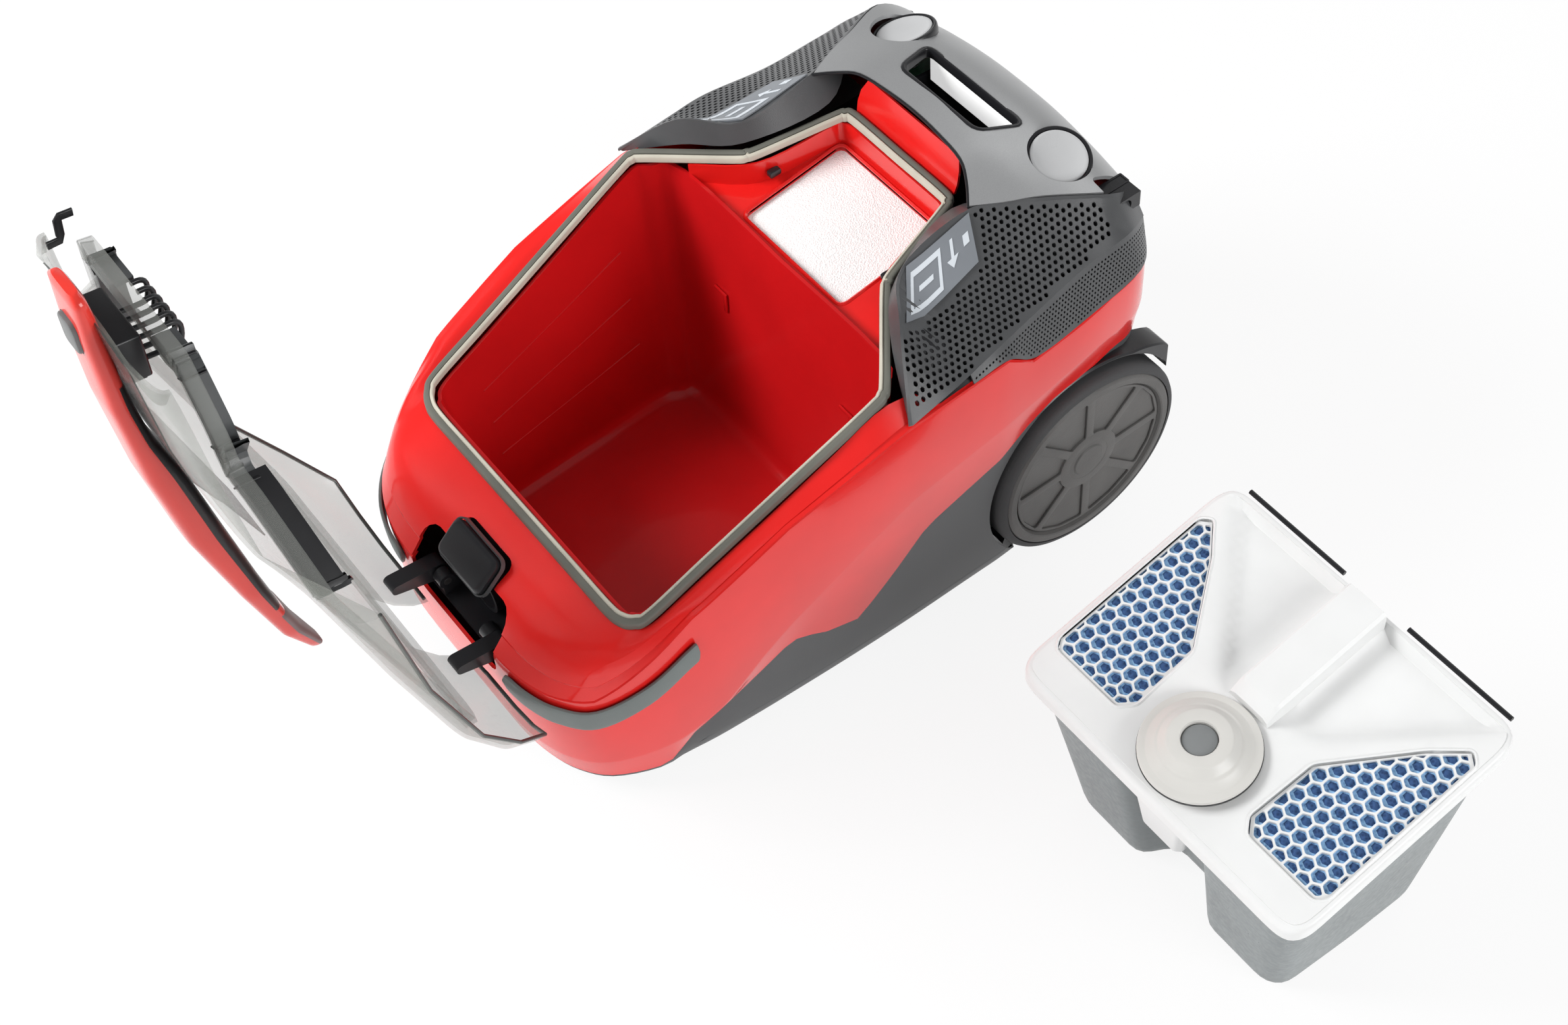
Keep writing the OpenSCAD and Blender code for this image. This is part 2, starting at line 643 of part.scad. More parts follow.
// Carry handle over the lid, held at its rear end and free at its front tip
module lid_handle() {
    xs = [28, 44, 60, 87, 114, 145, 175, 206, 237, 270, 300, 330, 350, 368, 384];
    w = handle_half_w / 17;
    loops = [for (x = xs)
        let (h = w * lookup(x, HANDLE_HALF), t = lookup(x, HANDLE_TOP), u = lookup(x, HANDLE_UNDER))
            [[x, h, u + 2], [x, h, t - 3], [x, h - 3, t], [x, 3 - h, t],
                [x, -h, t - 3], [x, -h, u + 2], [x, 2 - h, u], [x, h - 2, u]]];
    color("red") opened() difference() {
        stack_skin(loops);
        button_pocket(0.4, -9);
        lid_skin();
    }
}

module button_pocket(grow, deep) {
    translate([351, 0, 315.3]) rotate([0, -6, 0]) translate([0, 0, deep])
        rounded_slab(22 + 2 * grow, 18 + 2 * grow, 30, 5);
}

// Key in the handle that frees the lid
module lid_button() {
    color("gray") opened() translate([351, 0, 315.3]) rotate([0, -6, 0]) translate([0, 0, -5.2])
        rounded_slab(22, 18, 7, 5);
}

// Comb that breaks up foam in front of the motor filter
module lid_baffle() {
    color("black") opened() difference() {
        union() {
            hull() {
                block(322, 324, -22, 22, 285, 298.5);
                block(350, 352, -22, 22, 288, 304.5);
            }
            for (k = [0:5]) block(330, 350, -20.25 + k * 7.5, -17.25 + k * 7.5, 264, 290);
        }
        lid_skin();
    }
}

module lid_arms() {
    color("black") opened() difference() {
        union() for (s = [-1, 1]) hull() {
            translate([hinge_x, 0, hinge_z]) side_rod(s, 7, 34, 46);
            translate([-8, 0, 132]) side_rod(s, 4, 34, 46);
        }
        translate([hinge_x, 0, hinge_z]) rod_y(3 + fit, -60, 60);
    }
}

// ---- Inside the body ----

module on_shelf() {
    translate([bay_rear_x, 0, shelf_z]) rotate([0, -atan(shelf_slope), 0]) children();
}

module motor_filter() {
    color("white") place() on_shelf() translate([6, -55, -18]) cube([90, 110, 14.4]);
}

module filter_frame() {
    color("whitesmoke") place() on_shelf() difference() {
        translate([3.5, -58, -21]) cube([95, 116, 17.4]);
        translate([5.7, -55.3, -18.2]) cube([90.6, 110.6, 20]);
        translate([16, -45, -30]) cube([70, 90, 40]);
    }
}

motor_z = 122;
fan_x0 = 272;
fan_x1 = 310;
motor_x1 = 388;

module fan_housing() {
    color("gray") place() translate([0, 0, motor_z]) difference() {
        rod_x(66, fan_x0, fan_x1);
        rod_x(62, fan_x0 + 3, fan_x1 - 3);
        rod_x(22, fan_x0 - 5, fan_x0 + 10);
        rod_x(9, fan_x1 - 10, fan_x1 + 5);
    }
}

module impeller() {
    color("silver") place() translate([0, 0, motor_z]) difference() {
        union() {
            rod_x(56, fan_x1 - 9, fan_x1 - 6);
            rod_x(4, fan_x0 + 8, motor_x1 - 6);
            rod_x(12, fan_x0 + 10, fan_x1 - 9);
            for (k = [0:8]) rotate([k * 40, 0, 0])
                translate([fan_x0 + 10, 10, -1]) cube([fan_x1 - fan_x0 - 18.5, 44, 2]);
        }
        rod_x(1.2, motor_x1 - 12, motor_x1);
    }
}

module motor() {
    color("darkgray") place() translate([0, 0, motor_z]) difference() {
        union() {
            rod_x(46, fan_x1 + 4, motor_x1 - 8);
            rod_x(20, fan_x1 + 0.5, fan_x1 + 4);
            rod_x(20, motor_x1 - 8, motor_x1);
        }
        rod_x(4 + fit, fan_x1 - 2, motor_x1 + 1);
    }
}

module motor_mounts() {
    color("darkslategray") place() translate([0, 0, motor_z]) {
        difference() {
            rod_x(68.5, fan_x0 + 8, fan_x0 + 22);
            rod_x(66, fan_x0, fan_x1);
        }
        difference() {
            rod_x(28, motor_x1 - 6, motor_x1 + 5);
            rod_x(20, motor_x1 - 10, motor_x1 + 0.2);
        }
    }
}

reel_x = 405;
reel_z = 112;

module reel_frame() {
    color("gray") place() translate([0, 0, reel_z]) {
        rod_x(72, reel_x, reel_x + 3);
        rod_x(6, reel_x + 3, reel_x + 44);
    }
}

module cable_reel() {
    color("black") place() translate([0, 0, reel_z]) difference() {
        union() {
            rod_x(67, reel_x + 5, reel_x + 8);
            rod_x(30, reel_x + 8, reel_x + 36);
            rod_x(67, reel_x + 36, reel_x + 39);
        }
        rod_x(6 + fit, reel_x, reel_x + 60);
        for (k = [0:5]) rotate([k * 60, 0, 0]) translate([0, 48, 0]) rod_x(9, reel_x + 34, reel_x + 41);
    }
}

// Gland that the mains cable runs out of
module cable_outlet() {
    color("black") place() difference() {
        block(431.5, 456.5, -123, -104, 258.5, 271);
        translate([444, 0, 264.5]) rod_y(5, -130, -100);
    }
}

module exhaust_filters() {
    color("dimgray") place() for (s = [-1, 1])
        translate([360, s * 130, 201]) cube([120, 28, 18], center = true);
}

// Six screws through the floor of the base pan
module screws(grow) {
    for (x = [90, 200, 290]) for (s = [-1, 1]) translate([x, s * 70, ground_gap]) {
        cylinder(r = 5 + grow, h = 1.2 + grow);
        cylinder(r = 2.5 + grow, h = 7);
    }
}

module body_screws() {
    color("silver") place() screws(0);
}

// ---- Filter box ----

module box_place() {
    place() translate([box_x, box_y, 0]) children();
}

function cover_z(u) = box_front_h + u * box_rise / box_d;
function on_cover(loop, dz) = [for (p = loop) [p[0], p[1], cover_z(p[0]) + dz]];
skirt = 12;

// A mirrored loop started at the middle of its rear end, which sees every other point
function from_rear(loop) = let (n = len(loop)) [for (i = [0:n - 1]) loop[(i + n / 2) % n]];

module box_tub() {
    top = from_rear(mirrored([[32, 0], [32, 24], [6, 36], [6, 100], [15, 112], [90, 113.5],
        [156, 113.5], [167, 104], [167, 0]]));
    low = from_rear(mirrored([[56, 0], [56, 18], [33, 30], [33, 82], [42, 92], [95, 94],
        [146, 94], [156, 84], [156, 0]]));
    color("slategray", 0.8) box_place() {
        stack_skin([at_height(low, 0), on_cover(top, -skirt - 0.5), on_cover(inset(top, 2.5), -skirt - 0.5),
            at_height(inset(low, 2.5), 2.5)]);
        for (w = [28, 104]) for (s = [-1, 1]) translate([0, s * w - 2, cover_z(box_d) - 2]) difference() {
            union() {
                translate([165.5, 0, -22]) cube([13, 4, 9]);
                translate([175, 0, -14]) cube([5, 4, 12]);
                translate([177.5, 0, -2]) rod_y(3, 0, 4);
            }
            translate([177.5, -1, -2]) rod_y(1.6, 0, 6);
        }
    }
}

COVER_EDGE = [[0, 0], [0, 105], [3, 114], [12, 119], [100, 119], [160, 119], [170, 115],
    [174, 106], [174, 0]];
GRILLE = [[24, 108], [30, 113], [142, 113], [147, 106], [129, 88], [79, 50], [33, 48], [24, 56]];

function side_poly(poly, s) = [for (p = poly) [p[0], s * p[1] * box_w / 238]];
// A filter pad's outline, shrunk by k about its middle
function pad_outline(k, s) = side_poly([for (p = GRILLE) [88 + (p[0] - 88) * k, 85 + (p[1] - 85) * k]], s);

module box_cover() {
    edge = mirrored(side_poly(COVER_EDGE, 1));
    color("white") box_place() difference() {
        union() {
            stack_skin([on_cover(edge, 0), on_cover(edge, -skirt), on_cover(inset(edge, 3), -skirt),
                on_cover(inset(edge, 3), -3)]);
            for (w = [50, 84]) for (s = [-1, 1]) translate([0, s * w - 4, cover_z(box_d) - 4]) {
                translate([172, 0, -2.5]) cube([5, 8, 5]);
                translate([177.5, 0, 0]) rod_y(3.4, 0, 8);
            }
        }
        for (s = [-1, 1]) translate([0, 0, box_front_h - 30])
            linear_extrude(120) polygon(side_poly(GRILLE, s));
        translate([39, 0, 100]) cylinder(r = 25, h = 100);
        translate([177.5, 0, cover_z(box_d) - 4]) rod_y(1.6 + fit, -130, 130);
    }
}

// Takes shapes that are flat about the box's front edge to the sloping face of the cover
module on_face() {
    box_place() translate([0, 0, box_front_h]) rotate([0, -cover_slope, 0]) children();
}

// Hexagonal mesh over each filter pad
module mesh_grilles() {
    pitch = 9.6;
    step = pitch * 0.866;
    color("white") on_face() for (s = [-1, 1]) translate([0, 0, -2.6]) linear_extrude(1.8) difference() {
        scale([1 / cos(cover_slope), 1]) polygon(pad_outline(0.985, s));
        for (i = [0:18]) for (j = [0:8]) let (u = 22 + i * step, w = s * (46 + (j + (i % 2) / 2) * pitch))
            translate([u, w]) intersection() {
                circle(r = pitch * 0.47, $fn = 6);
                translate([-u, -w]) polygon(pad_outline(0.955, s));
            }
    }
}

module filter_media() {
    color("steelblue") on_face() for (s = [-1, 1])
        translate([0, 0, -11.5]) linear_extrude(8.5) polygon(pad_outline(0.97, s));
}

// Stepped round inlet in the middle of the cover
module dome_place() {
    box_place() translate([39, 0, cover_z(39)]) rotate([0, -cover_slope * 0.5, 0]) children();
}

module inlet_dome() {
    color("white") dome_place() difference() {
        union() {
            translate([0, 0, -8]) cylinder(r = 23, h = 18);
            translate([0, 0, 4.6]) cylinder(r = 36.5, h = 3.2);
            translate([0, 0, 7.6]) cylinder(r1 = 32, r2 = 26, h = 5);
            translate([0, 0, 12.5]) cylinder(r1 = 24.5, r2 = 20, h = 5.5);
        }
        translate([0, 0, -21]) cylinder(r = 11, h = 60);
        translate([0, 0, -21]) cylinder(r = 20.5, h = 29);
    }
}

module inlet_disc() {
    color("gray") dome_place() translate([0, 0, 9]) cylinder(r = 11, h = 7);
}

module air_duct() {
    color("white") box_place() difference() {
        translate([80, -16, 0]) on_slope_block(88, 32, 10, 0.3);
        translate([78, -13.5, 0]) on_slope_block(92, 27, 7, 0);
    }
}

module on_slope_block(l, w, h, dz) {
    translate([0, 0, cover_z(80) + dz]) rotate([0, -cover_slope, 0]) cube([l, w, h]);
}

module box_hinge_pin() {
    color("black") box_place() for (s = [-1, 1]) translate([177.5, 0, cover_z(box_d) - 4])
        side_rod(s, 1.6, 26, 106);
}

base_pan();
body_shell();
tub_liner();
rear_shelf();
tub_gasket();
bumper(1);  // bumper_left
bumper(-1);  // bumper_right
flank(1);  // flank_left
flank(-1);  // flank_right
symbol_panel(1);  // symbol_panel_left
symbol_panel(-1);  // symbol_panel_right
rear_cover();
grip_liner();
button(-1);  // button_power
button(1);  // button_rewind
button_ring(-1);  // button_ring_power
button_ring(1);  // button_ring_rewind
button_springs();
wheel(1);  // wheel_left
wheel(-1);  // wheel_right
tread(1);  // tread_left
tread(-1);  // tread_right
axle(1);  // axle_left
axle(-1);  // axle_right
caster_bush();
caster_fork();
caster_axle();
caster_wheel();
hose_port();
port_latch();
hinge_block();
hinge_pin();
lid_shell();
lid_frame();
lid_handle();
lid_button();
lid_baffle();
lid_arms();
motor_filter();
filter_frame();
fan_housing();
impeller();
motor();
motor_mounts();
reel_frame();
cable_reel();
cable_outlet();
control_board();
exhaust_filters();
box_tub();
box_cover();
mesh_grilles();
filter_media();
inlet_dome();
inlet_disc();
air_duct();
box_hinge_pin();
body_screws();
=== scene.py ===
"""Canister vacuum cleaner with its clear lid open and its water filter box lifted out beside it.

Body places are in millimetres on the body's own axes: x from the nose to the rear, y to the left side, z up
from the floor. Filter box places are u back from its front edge, w to the left and z up. The frame says where
both of them stand.
"""
import json
import math

import bmesh
import bpy
from mathutils import Matrix, Vector, geometry


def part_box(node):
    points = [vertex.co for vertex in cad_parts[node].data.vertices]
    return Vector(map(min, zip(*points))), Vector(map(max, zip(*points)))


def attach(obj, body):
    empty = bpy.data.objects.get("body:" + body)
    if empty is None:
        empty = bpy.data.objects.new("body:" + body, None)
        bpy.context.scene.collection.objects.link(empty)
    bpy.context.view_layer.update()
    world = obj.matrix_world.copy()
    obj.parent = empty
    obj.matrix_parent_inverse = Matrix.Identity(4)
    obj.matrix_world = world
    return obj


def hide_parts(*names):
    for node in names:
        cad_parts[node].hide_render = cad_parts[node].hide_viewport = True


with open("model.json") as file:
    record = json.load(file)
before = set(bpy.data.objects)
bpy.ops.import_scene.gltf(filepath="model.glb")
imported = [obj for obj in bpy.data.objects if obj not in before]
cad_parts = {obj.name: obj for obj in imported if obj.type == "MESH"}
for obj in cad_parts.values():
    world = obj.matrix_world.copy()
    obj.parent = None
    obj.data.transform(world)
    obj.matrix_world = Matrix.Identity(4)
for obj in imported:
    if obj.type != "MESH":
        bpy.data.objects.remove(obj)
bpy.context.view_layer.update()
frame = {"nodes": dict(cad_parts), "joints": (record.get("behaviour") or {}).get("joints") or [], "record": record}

MM = 0.001
WHEEL_X, WHEEL_R, WELL_R = 393, 79, 84
PORT_Z, PORT_R, VENT_Z = 110, 21.5, 246
SIDES = ((-1, "right"), (1, "left"))

left_wheel, right_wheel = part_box("wheel_left"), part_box("wheel_right")
BODY = Vector(((left_wheel[0].x + left_wheel[1].x) / 2 - WHEEL_X * MM,
               (left_wheel[1].y + right_wheel[0].y) / 2, 0))
cover_low, cover_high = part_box("box_cover")
BOX = Vector((cover_low.x, (cover_low.y + cover_high.y) / 2, 0))
lid_joint = next(j for j in frame["joints"] if j["name"] == "lid_hinge")
PIVOT = Vector(lid_joint["pos_m"])
OPEN = Matrix.Rotation(-math.radians(lid_joint["range_deg"][1]), 3, "Y")

# ---- Tables of the body, as in its drawing ----

LOW_EDGE = [(-20, 22), (44, 22), (64, 44), (80, 52), (138, 82), (150, 84), (168, 72), (196, 64),
            (224, 88), (254, 117), (317, 137), (340, 152), (366, 163), (422, 166), (452, 158), (474, 152)]
CREASE = [(-20, 111), (8, 118), (38, 144), (74, 174), (147, 208), (240, 233), (304, 237),
          (320, 238), (341, 221), (384, 224), (411, 227), (450, 224), (474, 216)]
FOLD = [(-20, 40), (60, 50), (92, 66), (120, 92), (142, 108), (195, 138), (242, 160), (290, 168),
        (343, 178), (400, 188), (474, 180)]
SEAL = [(42, 159), (48.8, 162.3), (236.3, 249.1), (287.8, 262), (357.4, 273.1), (380, 276)]
BROW = [(-20, 6), (8, 6), (38, 4), (74, 1), (147, 0.5), (240, 0)]
OUTLINE = [(-20, 0), (-20, 30), (-19.5, 60), (-16, 84), (-8, 106), (8, 126), (38, 141), (74, 148),
           (110, 151), (147, 153), (195, 155), (240, 156), (280, 156), (304, 156), (320, 156), (341, 155),
           (384, 153), (411, 150), (440, 143), (460, 127), (470, 104), (473.5, 70), (474, 0)]
SHOULDER = [(40, 0), (40, 40), (40, 80), (40, 100), (41, 113), (46, 122), (56, 129), (80, 131),
            (112, 133), (148, 135.5), (195, 138), (236, 141)]
SEAL_LINE = [(42, 0), (42, 60), (42, 100), (44, 113), (49, 121), (58, 125.5), (100, 128), (170, 132.5),
             (226, 136), (236, 135), (244, 128), (283, 80), (289, 75), (297, 71), (348, 56.5), (355, 53),
             (358, 46), (358, 0)]
FLANK_TOP = [(239, 157, 238), (264, 118, 278), (293.5, 84, 282), (351, 81, 293), (395, 100, 288),
             (434, 118, 279), (460, 112, 262)]
FLANK_LIP = [(241, 154, 237), (262, 111, 262), (291, 79.5, 268), (350, 63, 279), (393, 95, 283),
             (431, 112, 274), (456, 107, 258)]
FLANK_RIDGE = [(242, 157.6, 237), (282, 155, 243.6), (310, 152, 248.5), (356, 144, 250.5), (398, 139.5, 256),
               (434, 137, 257), (462, 122, 244)]
FLANK_LOW = [(246, 158, 236.6), (290, 158, 239.6), (318, 158, 241), (342, 157, 225.4), (384, 155, 228),
             (438, 147, 229.4), (464, 124, 223.6)]
COVER_HALF = [
    [(351, 79.6, 293.8), (361, 66, 299), (368, 51, 303.5), (371, 25, 305), (372, 0, 305.5)],
    [(372, 90, 291.8), (378, 72, 298), (384, 52, 302.5), (386, 26, 304), (387, 0, 304.5)],
    [(395, 99, 289), (398, 82, 293.5), (400, 58, 299), (402, 28, 302), (402, 0, 302.5)],
    [(434, 116.5, 280), (434, 94, 284), (434, 66, 290), (434, 32, 294), (434, 0, 295)],
    [(457, 110.5, 265), (458, 94, 267), (459, 68, 272), (460, 34, 276), (460, 0, 277)],
    [(467, 105, 245.5), (469, 90, 247), (470, 64, 251), (471, 32, 253), (472, 0, 254)],
    [(467, 103, 222), (470, 90, 222), (473, 64, 222), (473.5, 32, 222), (473.5, 0, 222)]]


# ---- Small geometry tools ----

def lookup(table, x):
    """Height on a table of [x, z] pairs, straight between them."""
    if x <= table[0][0]:
        return table[0][1]
    for (a, p), (b, q) in zip(table, table[1:]):
        if x <= b:
            return p + (q - p) * (x - a) / (b - a)
    return table[-1][1]


def mix(a, b, t):
    return tuple(p + (q - p) * t for p, q in zip(a, b))


def mixed(a, b, t=0.5):
    return [mix(p, q, t) for p, q in zip(a, b)]


def squared(value, power):
    """Sine or cosine raised to a power below 1, which turns an ellipse into a squarish round."""
    return math.copysign(abs(value) ** power, value)


def curve(points, steps):
    """Smooth line through the points."""
    last, line = len(points) - 1, []
    for i in range(last):
        four = [points[min(max(i + k, 0), last)] for k in (-1, 0, 1, 2)]
        for s in range(steps):
            t = s / steps
            line.append(tuple(0.5 * (2 * b + (c - a) * t + (2 * a - 5 * b + 4 * c - d) * t * t
                                     + (3 * b - a - 3 * c + d) * t ** 3) for a, b, c, d in zip(*four)))
    line.append(tuple(points[-1]))
    return line


def mirrored(half):
    """Full loop from its left half, whose first and last points lie on the middle plane."""
    return list(half) + [(p[0], -p[1]) + tuple(p[2:]) for p in reversed(half[1:-1])]


def outward(loop, closed=True):
    """Unit direction away from the body at each point of a loop that runs nose, left side, rear."""
    n, found = len(loop), []
    for i in range(n):
        a = loop[(i - 1) % n if closed else max(i - 1, 0)]
        b = loop[(i + 1) % n if closed else min(i + 1, n - 1)]
        dx, dy = b[0] - a[0], b[1] - a[1]
        size = math.hypot(dx, dy) or 1
        found.append((-dy / size, dx / size))
    return found


def moved(loop, away):
    """Flat loop moved outward by a distance."""
    return [(p[0] + away * v[0], p[1] + away * v[1]) + tuple(p[2:]) for p, v in zip(loop, outward(loop))]


def at_table(loop, table, dz=0):
    return [(p[0], p[1], lookup(table, p[0]) + dz) for p in loop]


def at_height(loop, z):
    return [(p[0], p[1], z) for p in loop]


def swept(loop, section, height):
    """Rows of a trim that follows a loop: section holds (outward, up) pairs, height the ground under them."""
    return [[(x, y, height(x, y) + up) for x, y in moved(loop, away)] for away, up in section]


def on_body(p):
    return BODY + Vector(p) * MM


def on_box(p):
    return BOX + Vector(p) * MM


def on_lid(p):
    """Place on the open lid of a point given on the shut one."""
    return PIVOT + OPEN @ (on_body(p) - PIVOT)


def add_object(name, mesh, material, body):
    mesh.materials.append(material)
    piece = bpy.data.objects.new(name, mesh)
    bpy.context.scene.collection.objects.link(piece)
    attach(piece, body)
    return piece


def apply_modifiers(piece):
    graph = bpy.context.evaluated_depsgraph_get()
    mesh = bpy.data.meshes.new_from_object(piece.evaluated_get(graph))
    piece.modifiers.clear()
    piece.data = mesh


def shade(piece, angle):
    piece.data.shade_smooth()
    piece.data.set_sharp_from_angle(angle=math.radians(angle))


def bevel(piece, width, segments=2):
    b = piece.modifiers.new("Bevel", "BEVEL")
    b.width, b.segments, b.limit_method, b.angle_limit = width * MM, segments, "ANGLE", math.radians(40)
    apply_modifiers(piece)


def cut(piece, *shapes):
    """Takes closed shapes out of a piece."""
    for shape in shapes:
        b = piece.modifiers.new("Boolean", "BOOLEAN")
        b.operation, b.solver, b.object = "DIFFERENCE", "EXACT", shape
    apply_modifiers(piece)
    for shape in shapes:
        bpy.data.objects.remove(shape)


def finished(name, bm, material, body, sharp):
    mesh = bpy.data.meshes.new(name)
    bm.to_mesh(mesh)
    bm.free()
    piece = add_object(name, mesh, material, body)
    shade(piece, sharp)
    return piece


def build(name, verts, faces, material, body, place=on_body, closed=True, inside=None, sharp=32):
    """Piece from points in millimetres. A closed one is turned right side out; an open one faces away
    from the point inside."""
    bm = bmesh.new()
    made = [bm.verts.new(place(v)) for v in verts]
    for face in faces:
        if len(set(face)) > 2:
            try:
                bm.faces.new([made[i] for i in face])
            except ValueError:
                pass
    bmesh.ops.remove_doubles(bm, verts=bm.verts, dist=1e-6)
    if closed:
        bmesh.ops.recalc_face_normals(bm, faces=bm.faces)
    else:
        centre = place(inside)
        bm.normal_update()
        facing = sum(f.calc_area() * f.normal.dot(f.calc_center_median() - centre) for f in bm.faces)
        if facing < 0:
            bmesh.ops.reverse_faces(bm, faces=bm.faces)
    return finished(name, bm, material, body, sharp)


def grid_faces(rows, cols, wrap_rows=False, wrap_cols=False):
    return [(r * cols + c, (r + 1) % rows * cols + c, (r + 1) % rows * cols + (c + 1) % cols,
             r * cols + (c + 1) % cols)
            for r in range(rows if wrap_rows else rows - 1) for c in range(cols if wrap_cols else cols - 1)]


def flat(rows):
    return [p for row in rows for p in row]


def stack(name, loops, material, body, place=on_body, sharp=32):
    """Closed solid through loops, with a flat end at the first and the last."""
    n, m = len(loops[0]), len(loops)
    faces = grid_faces(m, n, wrap_cols=True) + [tuple(range(n)), tuple(range((m - 1) * n, m * n))]
    return build(name, flat(loops), faces, material, body, place, sharp=sharp)


def band(name, loops, material, body, place=on_body, sharp=32):
    """Closed ring whose section runs through the loops in turn."""
    return build(name, flat(loops), grid_faces(len(loops), len(loops[0]), True, True), material, body,
                 place, sharp=sharp)


def vessel(name, first, second, material, body, place=on_body):
    """Open vessel of two skins, each given as loops from the rim down to the floor."""
    m, n = len(first), len(first[0])
    skin = grid_faces(m, n, wrap_cols=True)
    faces = skin + [tuple(i + m * n for i in f) for f in skin]
    faces += [(i, (i + 1) % n, m * n + (i + 1) % n, m * n + i) for i in range(n)]
    faces += [tuple(range((m - 1) * n, m * n)), tuple(range((2 * m - 1) * n, 2 * m * n))]
    return build(name, flat(first) + flat(second), faces, material, body, place, sharp=40)


def sheet(name, rows, thick, material, body, inside, place=on_body, wrap=False, sharp=32):
    """Moulded wall: a grid of points on its outer face, thickened inward."""
    piece = build(name, flat(rows), grid_faces(len(rows), len(rows[0]), wrap_cols=wrap), material, body,
                  place, closed=False, inside=inside, sharp=sharp)
    s = piece.modifiers.new("Solidify", "SOLIDIFY")
    s.thickness, s.offset, s.use_even_offset = thick * MM, -1, True
    apply_modifiers(piece)
    shade(piece, sharp)
    return piece


def tube(name, path, section, material, body, place=on_body, up=(0, 0, 1)):
    """Sweeps a flat section of (across, up) pairs along a path."""
    rings = []
    for i, p in enumerate(path):
        a, b = Vector(path[max(i - 1, 0)]), Vector(path[min(i + 1, len(path) - 1)])
        ahead = (b - a).normalized()
        side = ahead.cross(Vector(up)).normalized()
        top = side.cross(ahead)
        rings.append([tuple(Vector(p) + side * s + top * t) for s, t in section])
    return stack(name, rings, material, body, place, 40)


def rounded(width, height, radius):
    """Rounded rectangle about the origin, as points."""
    points = []
    for k, (sx, sy) in enumerate(((1, 1), (-1, 1), (-1, -1), (1, -1))):
        for i in range(5):
            a = math.radians(90 * k + 90 * i / 4)
            points.append((sx * (width / 2 - radius) + radius * math.cos(a),
                           sy * (height / 2 - radius) + radius * math.sin(a)))
    return points


def circle(radius, steps, centre=(0, 0)):
    return [(centre[0] + radius * math.cos(math.tau * i / steps),
             centre[1] + radius * math.sin(math.tau * i / steps)) for i in range(steps)]


def lathe(name, profile, material, body, place, steps, sharp=30, hollow=False):
    """Turns (radius, height) pairs round the axis of place. A hollow one joins its last pair to its first."""
    rings = [[(r * math.cos(math.tau * i / steps), r * math.sin(math.tau * i / steps), h)
              for i in range(steps)] for r, h in profile]
    return build(name, flat(rings), grid_faces(len(rings), steps, hollow, True), material, body, place,
                 sharp=sharp)


def slab(name, outline, z0, z1, material, place=on_body, round_edge=0.0):
    """Upright plate of the body."""
    piece = stack(name, [at_height(outline, z) for z in (z0, z1)], material, "chassis", place)
    if round_edge:
        bevel(piece, round_edge)
        shade(piece, 32)
    return piece


def cutter(outline, z0, z1, place=on_body):
    """Upright shape to take out of a piece."""
    return slab("cutter", outline, z0, z1, DARK_GREY, place)


def turned(axis_point, direction, spin=0.0, place=on_body):
    """Place function for shapes drawn round their own z axis."""
    turn = Vector((0, 0, 1)).rotation_difference(Vector(direction).normalized()).to_matrix()
    about = Matrix.Rotation(spin, 3, "Z")
    return lambda p: place(tuple(Vector(axis_point) + turn @ (about @ Vector(p))))


def eased(outline, radius, steps=4):
    """Outline with its corners rounded."""
    n, line = len(outline), []
    for i, p in enumerate(outline):
        ends = []
        for q in (outline[i - 1], outline[(i + 1) % n]):
            far = math.dist(p, q)
            ends.append(mix(p, q, min(radius, far * 0.45) / far))
        for k in range(steps + 1):
            t = k / steps
            line.append(mix(mix(ends[0], p, t), mix(p, ends[1], t), t))
    return line


def clipped(shape, polygon):
    """Part of a convex shape inside a convex polygon; both run the same way round as circle()."""
    for (ax, ay), (bx, by) in zip(polygon, polygon[1:] + polygon[:1]):
        found = []
        for p, q in zip(shape, shape[1:] + shape[:1]):
            dp = (bx - ax) * (p[1] - ay) - (by - ay) * (p[0] - ax)
            dq = (bx - ax) * (q[1] - ay) - (by - ay) * (q[0] - ax)
            if dp >= 0:
                found.append(p)
            if (dp > 0 > dq) or (dp < 0 < dq):
                found.append(mix(p, q, dp / (dp - dq)))
        shape = found
        if len(shape) < 3:
            return []
    return shape


def signed_area(shape):
    """Positive for a shape that runs the same way round as circle()."""
    shape = list(shape)
    return sum(a[0] * b[1] - b[0] * a[1] for a, b in zip(shape, shape[1:] + shape[:1])) / 2


def inside_polygon(p, polygon):
    found = False
    for (ax, ay), (bx, by) in zip(polygon, polygon[1:] + polygon[:1]):
        if (ay > p[1]) != (by > p[1]) and p[0] < (bx - ax) * (p[1] - ay) / (by - ay) + ax:
            found = not found
    return found


